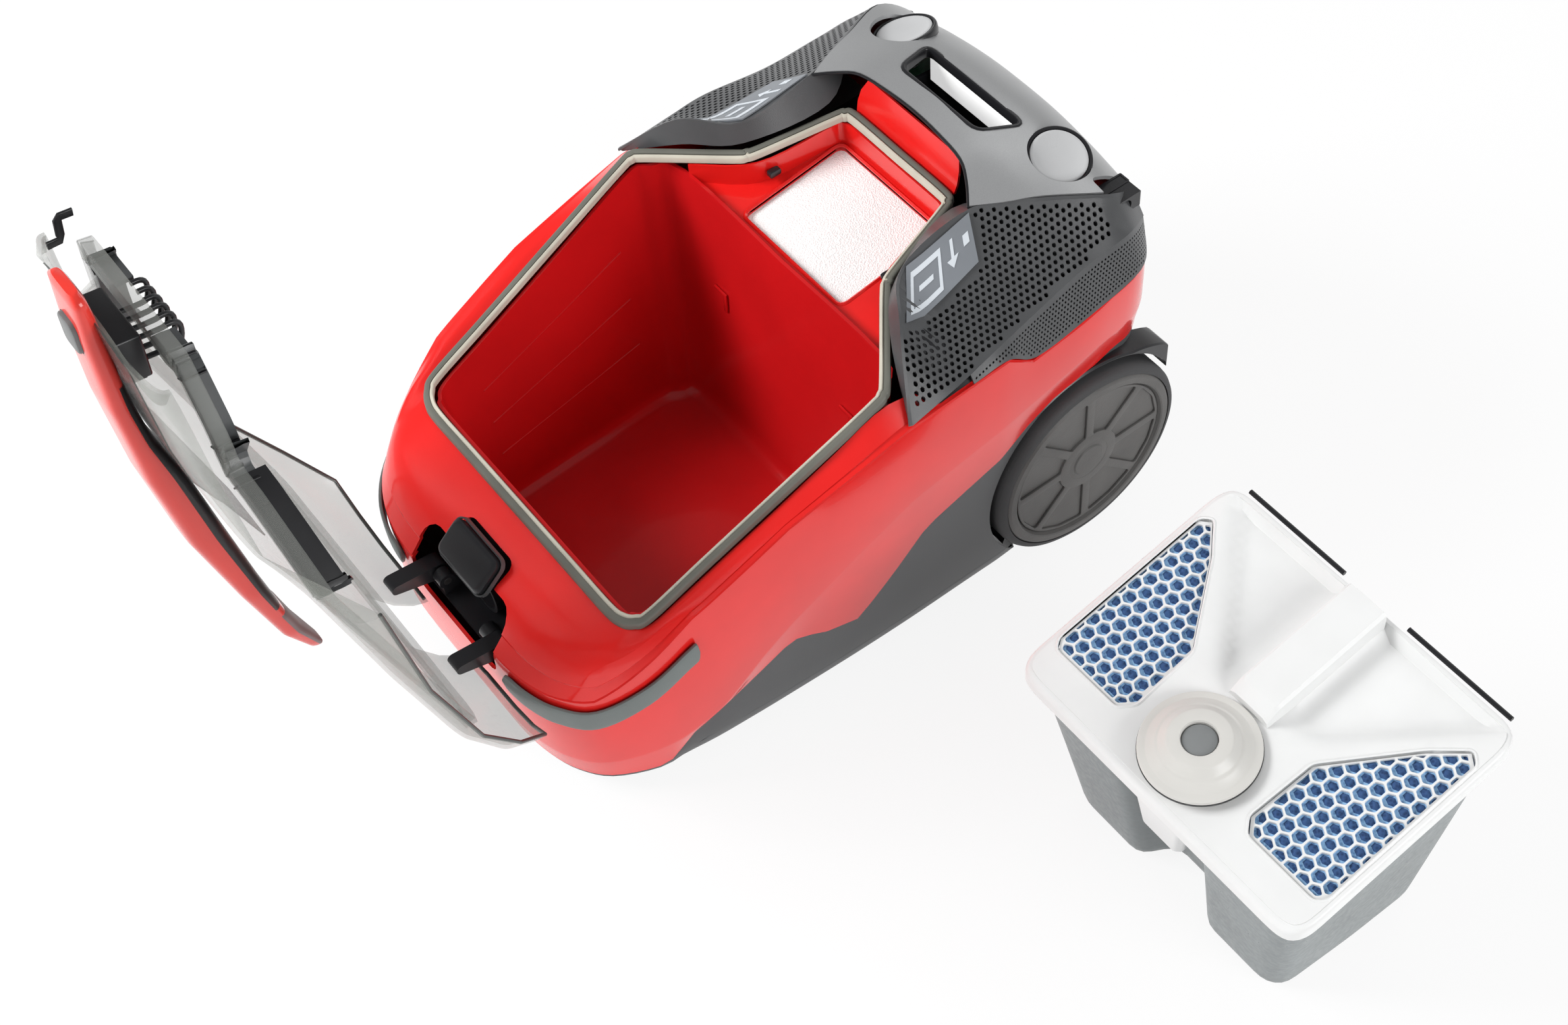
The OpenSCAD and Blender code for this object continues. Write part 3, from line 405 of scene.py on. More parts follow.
def punched(name, outline, holes, depth, place, material, body, inner=(), sharp=32):
    """Plate with holes through it, drawn flat and then put in place by a function of (x, y, depth)."""
    loops = [list(loop) if signed_area(loop) > 0 else list(loop)[::-1] for loop in [outline, *holes]]
    points = [Vector(p) for p in flat(loops)] + [Vector(p) for p in inner]
    polygons, start = [], 0
    for loop in loops:
        polygons.append(list(range(start, start + len(loop))))
        start += len(loop)
    verts, _, faces, _, _, origin = geometry.delaunay_2d_cdt(points, [], polygons, 1, 1e-5)
    kept = [f for f, o in zip(faces, origin) if o and all(k == 0 for k in o)]
    bm = bmesh.new()
    front = [bm.verts.new(place((v.x, v.y, 0))) for v in verts]
    back = [bm.verts.new(place((v.x, v.y, depth))) for v in verts]
    edges = {}
    for f in kept:
        bm.faces.new([front[i] for i in f])
        bm.faces.new([back[i] for i in reversed(f)])
        for a, b in zip(f, f[1:] + f[:1]):
            edges[(a, b)] = True
    for a, b in edges:
        if (b, a) not in edges:
            bm.faces.new([front[b], front[a], back[a], back[b]])
    bmesh.ops.delete(bm, geom=[v for v in bm.verts if not v.link_faces], context="VERTS")
    bmesh.ops.recalc_face_normals(bm, faces=bm.faces)
    return finished(name, bm, material, body, sharp)


# ---- Materials ----

def start_material(name, slot, colour, rough, metallic=0.0, coat=0.0, coat_rough=0.05, alpha=1.0, ior=1.5):
    material = bpy.data.materials.new(name)
    material.use_nodes = True
    material["slot"] = slot
    shader = material.node_tree.nodes["Principled BSDF"]
    for socket, value in (("Base Color", (*colour, 1)), ("Roughness", rough), ("Metallic", metallic),
                          ("Coat Weight", coat), ("Coat Roughness", coat_rough), ("Alpha", alpha),
                          ("IOR", ior)):
        shader.inputs[socket].default_value = value
    return material, shader


def add_node(material, kind, **values):
    node = material.node_tree.nodes.new(kind)
    for key, value in values.items():
        if hasattr(node, key):
            setattr(node, key, value)
        else:
            node.inputs[key.replace("_", " ")].default_value = value
    return node


def link(material, source, target):
    material.node_tree.links.new(source, target)


def pattern(material, kind="ShaderNodeTexNoise", **values):
    """Texture in the object's own space, so that it stays on the surface."""
    place = add_node(material, "ShaderNodeTexCoord")
    texture = add_node(material, kind, **values)
    link(material, place.outputs["Object"], texture.inputs["Vector"])
    return texture


def tint(material, shader, source, dark, light, low=0.35, high=0.65):
    """Colour between two tones, picked by a pattern."""
    ramp = add_node(material, "ShaderNodeValToRGB")
    ramp.color_ramp.elements[0].position, ramp.color_ramp.elements[1].position = low, high
    ramp.color_ramp.elements[0].color, ramp.color_ramp.elements[1].color = (*dark, 1), (*light, 1)
    link(material, source, ramp.inputs["Fac"])
    link(material, ramp.outputs["Color"], shader.inputs["Base Color"])


def uneven_gloss(material, shader, source, low, high):
    spread = add_node(material, "ShaderNodeMapRange", To_Min=low, To_Max=high)
    link(material, source, spread.inputs["Value"])
    link(material, spread.outputs["Result"], shader.inputs["Roughness"])


def relief(material, shader, source, strength, distance, on_coat=False):
    bump = add_node(material, "ShaderNodeBump", Strength=strength, Distance=distance)
    link(material, source, bump.inputs["Height"])
    link(material, bump.outputs["Normal"], shader.inputs["Normal"])
    if on_coat:
        link(material, bump.outputs["Normal"], shader.inputs["Coat Normal"])


def toned(colour, k):
    return tuple(min(1.0, c * k) for c in colour)


def gloss(name, slot, colour, ior, coat):
    """High-gloss injection moulding: slow colour drift and a faint orange peel."""
    material, shader = start_material(name, slot, colour, 0.16, coat=coat, coat_rough=0.03, ior=ior)
    drift = pattern(material, Scale=14.0, Detail=3.0)
    tint(material, shader, drift.outputs["Fac"], toned(colour, 0.94), toned(colour, 1.04))
    smears = pattern(material, Scale=70.0, Detail=4.0)
    uneven_gloss(material, shader, smears.outputs["Fac"], 0.12, 0.24)
    peel = pattern(material, Scale=420.0, Detail=1.0)
    relief(material, shader, peel.outputs["Fac"], 0.05, 0.0004, on_coat=True)
    return material


def grained(name, slot, colour, rough, scale=1500.0, depth=0.25, spread=0.08):
    """Matt moulding with a fine spark-eroded grain."""
    material, shader = start_material(name, slot, colour, rough)
    drift = pattern(material, Scale=30.0, Detail=5.0)
    tint(material, shader, drift.outputs["Fac"], toned(colour, 1 - spread), toned(colour, 1 + spread))
    uneven_gloss(material, shader, drift.outputs["Fac"], rough - 0.06, rough + 0.06)
    grain = pattern(material, Scale=scale, Detail=2.0)
    relief(material, shader, grain.outputs["Fac"], depth, 0.0003)
    return material


def satin_silver():
    """Metallic lacquer: tiny flakes under a satin top coat."""
    colour = (0.37, 0.375, 0.38)
    material, shader = start_material("satin_silver", "silver_cover", colour, 0.36, metallic=0.35, coat=0.3,
                                      coat_rough=0.25)
    flakes = pattern(material, "ShaderNodeTexVoronoi", Scale=2600.0)
    tint(material, shader, flakes.outputs["Distance"], toned(colour, 1.05), toned(colour, 0.9), 0.1, 0.7)
    drift = pattern(material, Scale=40.0, Detail=3.0)
    uneven_gloss(material, shader, drift.outputs["Fac"], 0.3, 0.42)
    relief(material, shader, flakes.outputs["Distance"], 0.04, 0.0002)
    return material


def see_through(name, slot, colour, alpha, rough):
    """Tinted clear moulding with light scuffs."""
    material, shader = start_material(name, slot, colour, rough, alpha=alpha)
    drift = pattern(material, Scale=18.0, Detail=2.0)
    tint(material, shader, drift.outputs["Fac"], toned(colour, 0.92), toned(colour, 1.08))
    scuffs = pattern(material, Scale=260.0, Detail=6.0)
    uneven_gloss(material, shader, scuffs.outputs["Fac"], rough * 0.6, rough * 1.8)
    material.surface_render_method = "BLENDED"
    return material


def foam(name, slot, dark, light, scale):
    """Open-cell foam."""
    material, shader = start_material(name, slot, light, 0.85)
    cells = pattern(material, "ShaderNodeTexVoronoi", Scale=scale)
    tint(material, shader, cells.outputs["Distance"], dark, light, 0.05, 0.6)
    relief(material, shader, cells.outputs["Distance"], 0.6, 0.0008)
    return material


def turned_metal(name, slot, colour, rough):
    material, shader = start_material(name, slot, colour, rough, metallic=1.0)
    place = add_node(material, "ShaderNodeTexCoord")
    stretch = add_node(material, "ShaderNodeMapping")
    stretch.inputs["Scale"].default_value = (1, 40, 1)
    lines = add_node(material, "ShaderNodeTexNoise", Scale=200.0, Detail=3.0)
    link(material, place.outputs["Object"], stretch.inputs["Vector"])
    link(material, stretch.outputs["Vector"], lines.inputs["Vector"])
    uneven_gloss(material, shader, lines.outputs["Fac"], rough - 0.1, rough + 0.12)
    tint(material, shader, lines.outputs["Fac"], toned(colour, 0.9), colour)
    return material


RED = gloss("gloss_red", "gloss_red", (0.74, 0.014, 0.012), ior=1.5, coat=0.2)
INNER_RED = gloss("inner_red", "dark_red_inner", (0.56, 0.009, 0.011), ior=1.45, coat=0.25)
HANDLE_RED = gloss("handle_red", "handle_red", (0.72, 0.040, 0.028), ior=1.45, coat=0.25)
DARK_GREY = grained("dark_grey", "dark_grey", (0.062, 0.064, 0.066), 0.42)
FLANK_GREY = grained("flank_grey", "dark_grey", (0.070, 0.072, 0.075), 0.38)
WHEEL_GREY = grained("wheel_grey", "wheel_grey", (0.105, 0.102, 0.098), 0.55, scale=700.0, depth=0.6,
                     spread=0.14)
RUBBER = grained("tread_rubber", "tread_rubber", (0.050, 0.050, 0.052), 0.7, scale=900.0, depth=0.4)
BLACK = grained("black_plastic", "black_plastic", (0.014, 0.014, 0.016), 0.32, scale=1200.0, depth=0.12)
SILVER = satin_silver()
LIGHT_GREY = grained("light_grey", "light_grey", (0.50, 0.505, 0.51), 0.3, depth=0.08, spread=0.03)
SLATE = grained("slate_panel", "slate_panel", (0.20, 0.215, 0.235), 0.34, depth=0.1, spread=0.05)
PALE_MARK = grained("pale_mark", "light_grey", (0.62, 0.66, 0.70), 0.4, depth=0.05, spread=0.03)
SEAL_GREY = grained("seal_grey", "seal_grey", (0.135, 0.135, 0.115), 0.5, scale=800.0, depth=0.15)
SEAL_PALE = grained("seal_pale", "seal_grey", (0.52, 0.49, 0.41), 0.45, scale=800.0, depth=0.1)
SOFT_GREY = grained("soft_grey", "soft_grey", (0.135, 0.155, 0.150), 0.48, scale=900.0, depth=0.2)
SMOKE = see_through("clear_smoke", "clear_smoke", (0.36, 0.375, 0.34), 0.3, rough=0.2)
SMOKE_PALE = see_through("pale_smoke", "clear_smoke", (0.30, 0.31, 0.29), 0.3, rough=0.14)
SMOKE_STRIP = see_through("strip_smoke", "clear_smoke", (0.075, 0.082, 0.078), 0.66, rough=0.2)
WHITE = grained("white_plastic", "white_plastic", (0.76, 0.765, 0.76), 0.34, depth=0.05, spread=0.015)
CREAM = grained("cream_plastic", "white_plastic", (0.62, 0.61, 0.58), 0.34, depth=0.05, spread=0.02)
SMOKE_TUB = see_through("smoke_tub", "smoke_tub", (0.20, 0.225, 0.23), 0.94, rough=0.3)
FILTER_WHITE = foam("filter_white", "filter_white", (0.88, 0.88, 0.87), (0.96, 0.96, 0.95), 900.0)
FILTER_BLUE = foam("filter_blue", "filter_blue", (0.09, 0.22, 0.46), (0.30, 0.52, 0.78), 420.0)
# Painted shade: a dark copy of the blue foam, for the hollows in each grille cell.
FILTER_PAINTED_SHADE = foam("filter_painted_shade", "filter_blue", (0.018, 0.040, 0.11), (0.045, 0.10, 0.24), 420.0)
STEEL = turned_metal("steel", "steel", (0.58, 0.58, 0.57), 0.32)
ALUMINIUM = turned_metal("aluminium", "aluminium", (0.72, 0.72, 0.71), 0.4)
GRIP_GLOW_WHITE = grained("grip_white_painted_glow", "white_plastic", (0.93, 0.93, 0.92), 0.4, depth=0.03, spread=0.01)
# Painted light: the slot's lining is given a weak white glow so that it stays bright in the shade of the cover.
grip_glow_shader = GRIP_GLOW_WHITE.node_tree.nodes["Principled BSDF"]
grip_glow_shader.inputs["Emission Color"].default_value = (1, 1, 1, 1)
grip_glow_shader.inputs["Emission Strength"].default_value = 0.55
SMOKE_DARK = grained("smoke_dark", "clear_smoke", (0.045, 0.048, 0.046), 0.3, depth=0.08)
FRAME_GREY = grained("frame_grey", "black_plastic", (0.068, 0.072, 0.074), 0.34, depth=0.12, spread=0.12)
KEY_GREY = grained("key_grey", "light_grey", (0.13, 0.135, 0.135), 0.4, depth=0.1)
TIP_GREY = grained("tip_grey", "soft_grey", (0.20, 0.15, 0.15), 0.45, depth=0.1)
DISC_GREY = grained("disc_grey", "light_grey", (0.21, 0.22, 0.222), 0.42, depth=0.1)
BOARD = grained("board_green", "board_green", (0.03, 0.16, 0.07), 0.4, spread=0.2)
CAD_FINISH = {
    "gloss_red": RED, "dark_red_inner": INNER_RED, "dark_grey": DARK_GREY, "wheel_grey": WHEEL_GREY,
    "tread_rubber": RUBBER, "black_plastic": BLACK, "silver_cover": SILVER, "light_grey": LIGHT_GREY,
    "slate_panel": SLATE, "seal_grey": SEAL_GREY, "soft_grey": SOFT_GREY, "clear_smoke": SMOKE,
    "handle_red": HANDLE_RED, "white_plastic": WHITE, "smoke_tub": SMOKE_TUB, "filter_white": FILTER_WHITE,
    "filter_blue": FILTER_BLUE, "steel": STEEL, "aluminium": ALUMINIUM, "board_green": BOARD}


def dress_cad_nodes():
    """Gives every carried-over solid its procedural finish."""
    for part in frame["record"]["subparts"]:
        piece = frame["nodes"][part["node"]]
        finish = BLACK if part["node"] == "box_hinge_pin" else CAD_FINISH[part["material_slot"]]
        for held in piece.material_slots:
            held.material = finish


# ---- Body shell ----

FINE = 4


def half_rows():
    """Outline, top edge and outward directions of the left half, sampled finely."""
    half = curve(OUTLINE, FINE)
    tucked = moved(OUTLINE, -9)
    top = [(x, y, lookup(SEAL, x) - 3) for x, y in SHOULDER]
    top += [(x, abs(y), lookup(CREASE, x) + 3) for x, y in tucked[len(SHOULDER):]]
    top = curve(top, FINE)
    top[0], top[-1] = (top[0][0], 0.0, top[0][2]), (top[-1][0], 0.0, top[-1][2])
    away = outward(half, closed=False)
    away[0], away[-1] = (-1.0, 0.0), (1.0, 0.0)
    return half, top, away


def shell_profile(p, top, v):
    """Section of the red shell at one place of the outline, from the seal down to the lower edge."""
    x = p[0]
    crease, low, fold = (lookup(t, x) for t in (CREASE, LOW_EDGE, FOLD))

    def off(away, z):
        return (x + away * v[0], p[1] + away * v[1], z)

    edge, bulge = off(0, crease), lookup(BROW, x)
    brow = tuple((a + b) / 2 + bulge * k for a, b, k in zip(top, edge, (-1.1, 0, 1)))
    upper = curve([top, brow, edge], 4)
    second = mix(upper[6], upper[7], 0.1)
    groove = mix(second, edge, 0.12)
    line = [*upper[:6], mix(upper[6], upper[5], 0.25), second,
            (groove[0] - v[0] * 0.9, groove[1] - v[1] * 0.9, groove[2] - 0.5), edge]
    line += [off(-1.2, crease - 1.0), off(0.2, crease - 2.2), off(0.5, crease - 5)]
    fold = min(max(fold, low + 3), crease - 12)
    line += [off(0.8, (crease + fold) / 2), off(0.7, fold + 2), off(0.4, fold - 1)]
    line += [off(-2.2, (2 * low + fold) / 3), off(-3, low), off(-5.5, low + 0.4)]
    return line


def wheel_well(s, y):
    """Round cutter for one wheel, from y outward."""
    return cutter(circle(WELL_R, 96), 0, 60, turned((WHEEL_X, s * y, WHEEL_R), (0, s, 0)))


def body_shell():
    half, top, away = half_rows()
    sections = [shell_profile(p, t, v) for p, t, v in zip(half, top, away)]
    sections += [[(x, -y, z) for x, y, z in s] for s in reversed(sections[1:-1])]
    rows = [[s[r] for s in sections] for r in range(len(sections[0]))]
    piece = sheet("shell_red", rows, 2.6, RED, "chassis", (220, 0, 120), wrap=True, sharp=24)
    wells = [wheel_well(s, 125) for s in (-1, 1)]
    recess = cutter(rounded(100, 53, 12), 0, 66, turned((-40, 0, PORT_Z + 0.5), (1, 0, 0), math.pi / 2))
    latch_gap = cutter(rounded(32, 54, 7), -30, 30, latch_place())
    vent = cutter(rounded(104, 40, 6), 0, 60, turned((440, 0, VENT_Z), (1, 0, 0), math.pi / 2))
    cut(piece, *wells, recess, latch_gap, vent)
    shade(piece, 24)
    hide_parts("body_shell")


# ---- Tub ----

TUB_TOP = [(50, 0), (50, 98), (53, 112), (62, 118.5), (100, 121), (170, 126), (226, 130.5), (242, 125),
           (258, 106), (258, 0)]
TUB_LOW = [(60, 0), (60, 90), (63, 102), (72, 108.5), (104, 111), (170, 114.5), (216, 117), (232, 112),
           (248, 96), (248, 0)]
TUB_RIM = [(50, 158), (236, 244), (258, 243)]
TUB_FLOOR, TUB_WALL = 27, 2.5


def tub_loop(t):
    return curve([mix(a, b, t) for a, b in zip(TUB_LOW, TUB_TOP)], 4)


def tub_rows():
    rim = at_table(mirrored(tub_loop(1)), TUB_RIM)
    rows = [rim]
    for t in (0.8, 0.6, 0.4, 0.2, 0.08):
        loop = mirrored(tub_loop(t))
        rows.append([(x, y, TUB_FLOOR + (r[2] - TUB_FLOOR) * t) for (x, y), r in zip(loop, rim)])
    low = mirrored(tub_loop(0))
    for k in range(5):
        a = math.radians(90 * k / 4)
        rows.append(at_height(moved(low, -10 * (1 - math.cos(a)) + 0.4), TUB_FLOOR + 10 * (1 - math.sin(a))))
    return rows


def tub_liner():
    rows = tub_rows()
    outer = [moved(r, TUB_WALL) for r in rows[:-1]]
    outer.append([(x, y, z - TUB_WALL) for x, y, z in rows[-1]])
    piece = vessel("tub_inside", rows, outer, INNER_RED, "chassis")
    cut(piece, cutter(circle(PORT_R, 48), 0, 34, turned((38, 0, PORT_Z), (1, 0, 0))))
    shade(piece, 40)
    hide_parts("tub_liner")


def tub_details():
    """Moulded lines along the side walls, and two hooks at the rear."""
    for s, side in SIDES:
        for k, share in enumerate((0.30, 0.52, 0.74)):
            line = []
            for x in range(86, 221, 9):
                top_y, low_y = lookup(TUB_TOP, x), lookup(TUB_LOW, x)
                z = TUB_FLOOR + (lookup(TUB_RIM, x) - TUB_FLOOR) * share
                line.append((x, s * (low_y + (top_y - low_y) * share + 0.3), z))
            tube(f"tub_rib_{side}_{k}", line, circle(0.8, 8), INNER_RED, "chassis")
    hook = [(-7, -9), (7, -9), (7, -6), (-3, -6), (-3, 9), (-7, 9)]
    for k, y in enumerate((-70, 70)):
        spot = turned((254.6, y, 150), (-1, 0, 0.03), math.pi / 2)
        slab(f"tub_hook_{k}", hook, 0, 1.6, INNER_RED, spot, 0.5)


def shelf_top(x):
    return 236 + (x - 258) * 0.15


SHELF_EDGE = [(261, 103), (292, 68), (340, 57), (352, 54), (355, 44)]
WINDOW_X = 309


def shelf_floor():
    """Sloping floor behind the tub, with a rimmed window over the motor filter."""
    outline = mirrored([(261, 0), *SHELF_EDGE, (355, 0)])
    inner = [(WINDOW_X + x, y) for x, y in rounded(82, 104, 5)]
    outer = [(WINDOW_X + x, y) for x, y in rounded(87, 109, 7)]

    def place(p):
        return on_body((p[0], p[1], shelf_top(p[0]) - p[2]))

    floor = punched("shelf_floor", outline, [inner], 3, place, RED, "chassis")
    bevel(floor, 0.7)
    shade(floor, 30)
    rim = [[(x, y, shelf_top(x) + z) for x, y in loop]
           for loop, z in ((inner, -9), (inner, 0.4), (mixed(inner, outer), 1.2), (outer, 0.2), (outer, -9))]
    band("shelf_rim", rim, RED, "chassis")


def shelf_walls():
    line = curve(SHELF_EDGE, 5)
    wall = line + [(x, -y) for x, y in reversed(line)]
    low = [(x, y, shelf_top(x) - 1) for x, y in wall]
    mid = [(x, y, (shelf_top(x) + seal_height(x)) / 2) for x, y in wall]
    high = at_table(wall, SEAL, -4)
    piece = sheet("shelf_wall", [low, mid, high], 1.6, RED, "chassis", (310, 0, 255))
    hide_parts("rear_shelf")
    steps = range(-50, 51, 5)
    rear = [[(x, y * wide, z) for y in steps]
            for x, wide, z in ((362.6, 1.0, 273), (364.5, 1.02, 281), (367, 1.0, 290), (370.5, 0.92, 299))]
    sheet("rear_band", rear, 1.8, RED, "chassis", (500, 0, 260), sharp=60)
    for s, clip_side in SIDES:
        spot = turned((300, s * 61.5, 250), (0, -s, 0))
        slab(f"shelf_clip_{clip_side}", rounded(9, 5, 1.5), -1, 3.5, BLACK, spot, 0.5)


# ---- Seal, bumpers ----

def seal_height(x, _=0):
    return lookup(SEAL, x)


def tub_gasket():
    line = mirrored(curve(SEAL_LINE, 6))
    dark = [(-0.8, -2.4), (-0.8, 2.4), (0.2, 3.0), (1.6, 3.1), (2.8, 2.7), (3.4, 1.6), (3.4, -2.4)]
    piece = band("seal_dark", swept(line, dark, seal_height), SEAL_GREY, "chassis", sharp=50)
    pale = [(-3.9, -2.4), (-3.9, 1.2), (-3.2, 2.2), (-2.0, 2.6), (-1.2, 2.0), (-0.9, 0.6), (-0.9, -2.4)]
    band("seal_pale_lip", swept(line, pale, seal_height), SEAL_PALE, "chassis", sharp=50)
    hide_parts("tub_gasket")


BUMPER = [(-19.5, 62, 96), (-16.5, 84, 96), (-8.5, 106, 97), (8, 126.5, 100), (38, 141.5, 117),
          (66, 147.5, 137), (74, 148.5, 142)]
BUMPER_OUT, BUMPER_THICK, BUMPER_TALL = 2.7, 3.2, 18.8


def bumper(s, side):
    line, rings = curve(BUMPER, 6), []
    for i, (p, v) in enumerate(zip(line, outward(line, closed=False))):
        end = min(i, len(line) - 1 - i) / 3
        k = math.sqrt(max(0.0, 1 - (1 - min(end, 1)) ** 2)) * 0.8 + 0.2
        ring = []
        for a in range(16):
            w = BUMPER_OUT + BUMPER_THICK / 2 * squared(math.cos(math.tau * a / 16), 0.5)
            h = BUMPER_TALL / 2 * k * squared(math.sin(math.tau * a / 16), 0.6)
            ring.append((p[0] + v[0] * w, s * (p[1] + v[1] * w), p[2] + h))
        rings.append(ring)
    piece = stack(f"bumper_soft_{side}", rings, SOFT_GREY, "chassis", sharp=50)
    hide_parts(f"bumper_{side}")


# ---- Perforated flanks ----

FLANK_SKIN = 1.6


def by_x(line, x):
    """Point on a polyline at one x, worked out from its neighbours."""
    for a, b in zip(line, line[1:]):
        if x <= b[0]:
            t = (x - a[0]) / (b[0] - a[0]) if b[0] > a[0] else 0
            return mix(a, b, min(max(t, 0.0), 1.0))
    return line[-1]


def over_flank(top, ridge, x, y):
    """Height of the upper facet over a place on the body."""
    upper, lower = by_x(top, x), by_x(ridge, x)
    t = (y - upper[1]) / (lower[1] - upper[1]) if lower[1] - upper[1] > 0.5 else 0.0
    return upper[2] + (lower[2] - upper[2]) * min(max(t, -0.05), 1.05)


def upper_facet(name, top, ridge, s, keep_out):
    """Broad facet between the top edge and the ridge, with staggered round holes laid out in plan."""
    pitch, radius, margin, x0, y0 = 4.8, 1.5, 1.4, 236, 78

    def place(p):
        x, y, depth = p
        return on_body((x, s * (y - 0.45 * depth), over_flank(top, ridge, x, y) - 0.9 * depth))

    outline = [(x, y) for x, y, _ in top] + [(x, y) for x, y, _ in reversed(ridge)]
    room = moved(outline[::-1] if signed_area(outline) > 0 else outline, -margin - radius)
    holes = []
    for row in range(40):
        for column in range(80):
            x, y = x0 + (column + (row % 2) / 2) * pitch, y0 + row * pitch * 0.76
            if inside_polygon((x, y), room) and not keep_out(x, y):
                turns = [math.tau * k / 8 for k in range(8)]
                holes.append([(x + radius * math.cos(a), y + radius * 0.88 * math.sin(a)) for a in turns])
    return punched(name, outline, holes, FLANK_SKIN, place, FLANK_GREY, "chassis", sharp=25)


def lower_facet(name, ridge, low, s):
    """Narrow facet between the ridge and the lower edge, with fine holes laid out along its face."""
    pitch, radius, margin, x0, x1 = 2.9, 0.8, 1.3, 290, 461

    def width(x):
        return math.dist(by_x(ridge, x), by_x(low, x))

    def place(p):
        x, d, depth = p
        a, b = Vector(by_x(ridge, x)), Vector(by_x(low, x))
        ahead = Vector(by_x(ridge, min(x + 2, x1))) - Vector(by_x(ridge, max(x - 2, x0)))
        normal = ahead.cross(b - a).normalized()
        if normal.dot(Vector((0, 1, 1))) < 0:
            normal.negate()
        q = a + (b - a) * (d / ((b - a).length or 1)) - normal * depth
        return on_body((q.x, s * q.y, q.z))

    steps = [x0 + (x1 - x0) * k / 60 for k in range(61)]
    outline = [(x, 0.0) for x in steps] + [(x, width(x)) for x in reversed(steps) if width(x) > 0.3]
    holes = []
    row, d = 0, margin + radius
    while d < max(width(x) for x in steps):
        x = x0 + margin + (row % 2) * pitch / 2
        while x < x1 - margin:
            room = min(width(x) - radius, width(x - radius - 1), width(x + radius + 1)) - margin
            if margin + radius < d < room:
                holes.append(circle(radius, 6, (x, d)))
            x += pitch
        row, d = row + 1, d + pitch * 0.866
    return punched(name, outline, holes, FLANK_SKIN, place, FLANK_GREY, "chassis", sharp=25)


def flank(s, side):
    """Perforated skin of two facets, its folded upper lip and a dark screen behind it."""
    top, ridge = curve(FLANK_TOP, 6), curve(FLANK_RIDGE, 6)
    low, edge = curve(FLANK_LOW, 6), curve(FLANK_LIP, 6)

    def keep_out(x, y):
        panel = [(264, 121), (290, 78), (354, 78), (339, 110)]
        return inside_polygon((x, y), panel) or (s < 0 and x > 425 and y < 152) or x > 456

    upper = upper_facet(f"flank_{side}_upper", top, ridge, s, keep_out)
    lower_facet(f"flank_{side}_lower", ridge, low, s)
    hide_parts(f"flank_{side}")
    lip_rows = [[(x, s * y, z) for x, y, z in line] for line in (edge, top)]
    sheet(f"flank_{side}_lip", lip_rows, 2.0, FLANK_GREY, "chassis", (340, s * 150, 250))
    back = []
    for line, dy, dz in ((top, -1.2, -4.4), (ridge, -3.6, -3.4), (low, -3.4, -1.0)):
        back.append([(x, s * (y + dy), z + dz) for x, y, z in line[3:-2]])
    sheet(f"flank_{side}_screen", back, 1.0, BLACK, "chassis", (340, 0, 150))


# ---- Symbol panels ----

def symbol_panel(s, side):
    """Slate plate laid over the flank, with its raised symbols; a runs back and b outward, 0 to 1."""
    top, ridge = curve(FLANK_TOP, 6), curve(FLANK_RIDGE, 6)
    near = [Vector((295, 84.5, 0)), Vector((349, 81.8, 0))]
    far = [Vector((268, 117.5, 0)), Vector((337, 106.5, 0))]
    up = Vector((0, 0.42, 0.9))

    def place(a, b, depth):
        q = near[0].lerp(near[1], a).lerp(far[0].lerp(far[1], a), b)
        q.z = over_flank(top, ridge, q.x, q.y)
        q += up * depth
        return on_body((q.x, s * q.y, q.z))

    def dense(loop):
        return [mix(p, q, k / 4) for p, q in zip(loop, loop[1:] + loop[:1]) for k in range(4)]

    def patch(name, outline, z0, z1, material, holes=()):
        inner = [(i / 10, j / 10) for i in range(1, 10) for j in range(1, 10)]
        inner = [p for p in inner if inside_polygon(p, outline) and not holes]
        return punched(name, dense(outline), [dense(h) for h in holes], z1 - z0,
                       lambda p: place(p[0], p[1], z1 - p[2]), material, "chassis", inner)

    plate = patch(f"panel_{side}", [(0.02, 0.02), (0.98, 0.02), (0.98, 0.98), (0.02, 0.98)], 0.2, 1.3, SLATE)
    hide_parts(f"symbol_panel_{side}")

    def box(x0, x1, y0, y1):
        return [(x0, y0), (x1, y0), (x1, y1), (x0, y1)]

    marks = (("frame", box(0.08, 0.52, 0.16, 0.86), [box(0.12, 0.48, 0.26, 0.76)]),
             ("bar", box(0.2, 0.4, 0.46, 0.55), []),
             ("stem", box(0.66, 0.7, 0.18, 0.5), []),
             ("arrow", [(0.6, 0.5), (0.76, 0.5), (0.68, 0.68)], []),
             ("dot", box(0.84, 0.92, 0.3, 0.5), []))
    for mark, outline, holes in marks:
        patch(f"panel_{side}_{mark}", outline, 1.2, 1.55, PALE_MARK, holes)


# ---- Dark pan and wheels ----

GROUND_GAP, PAN_KINK = 15, 16
SPOKES = 8
ARCH_REAR = 467.0


def pan_skirt():
    """Smooth skin of the dark pan, upright below the shell and tucked under at the floor."""
    line = mirrored(curve(OUTLINE, FINE))
    rows = []
    for away, above, below in ((-4.1, 1, 1), (-3.9, 0.6, 1), (-3.9, 0.3, 1), (-4, 0, 1), (-4.8, 0, 0.55),
                               (-7.2, 0, 0.2), (-11.6, 0, 0.03)):
        row = []
        for x, y in moved(line, away):
            tall = lookup(LOW_EDGE, x) - 0.5 - GROUND_GAP
            kink = min(PAN_KINK, 0.64 * tall)
            row.append((x, y, GROUND_GAP + kink * below + (tall - kink) * above))
        rows.append(row)
    piece = sheet("pan_skin", rows, 1.2, DARK_GREY, "chassis", (220, 0, 60), wrap=True, sharp=35)
    cut(piece, *[wheel_well(s, 120) for s in (-1, 1)])
    shade(piece, 35)


def wheel_place(s):
    return turned((WHEEL_X, 0, WHEEL_R), (0, s, 0))


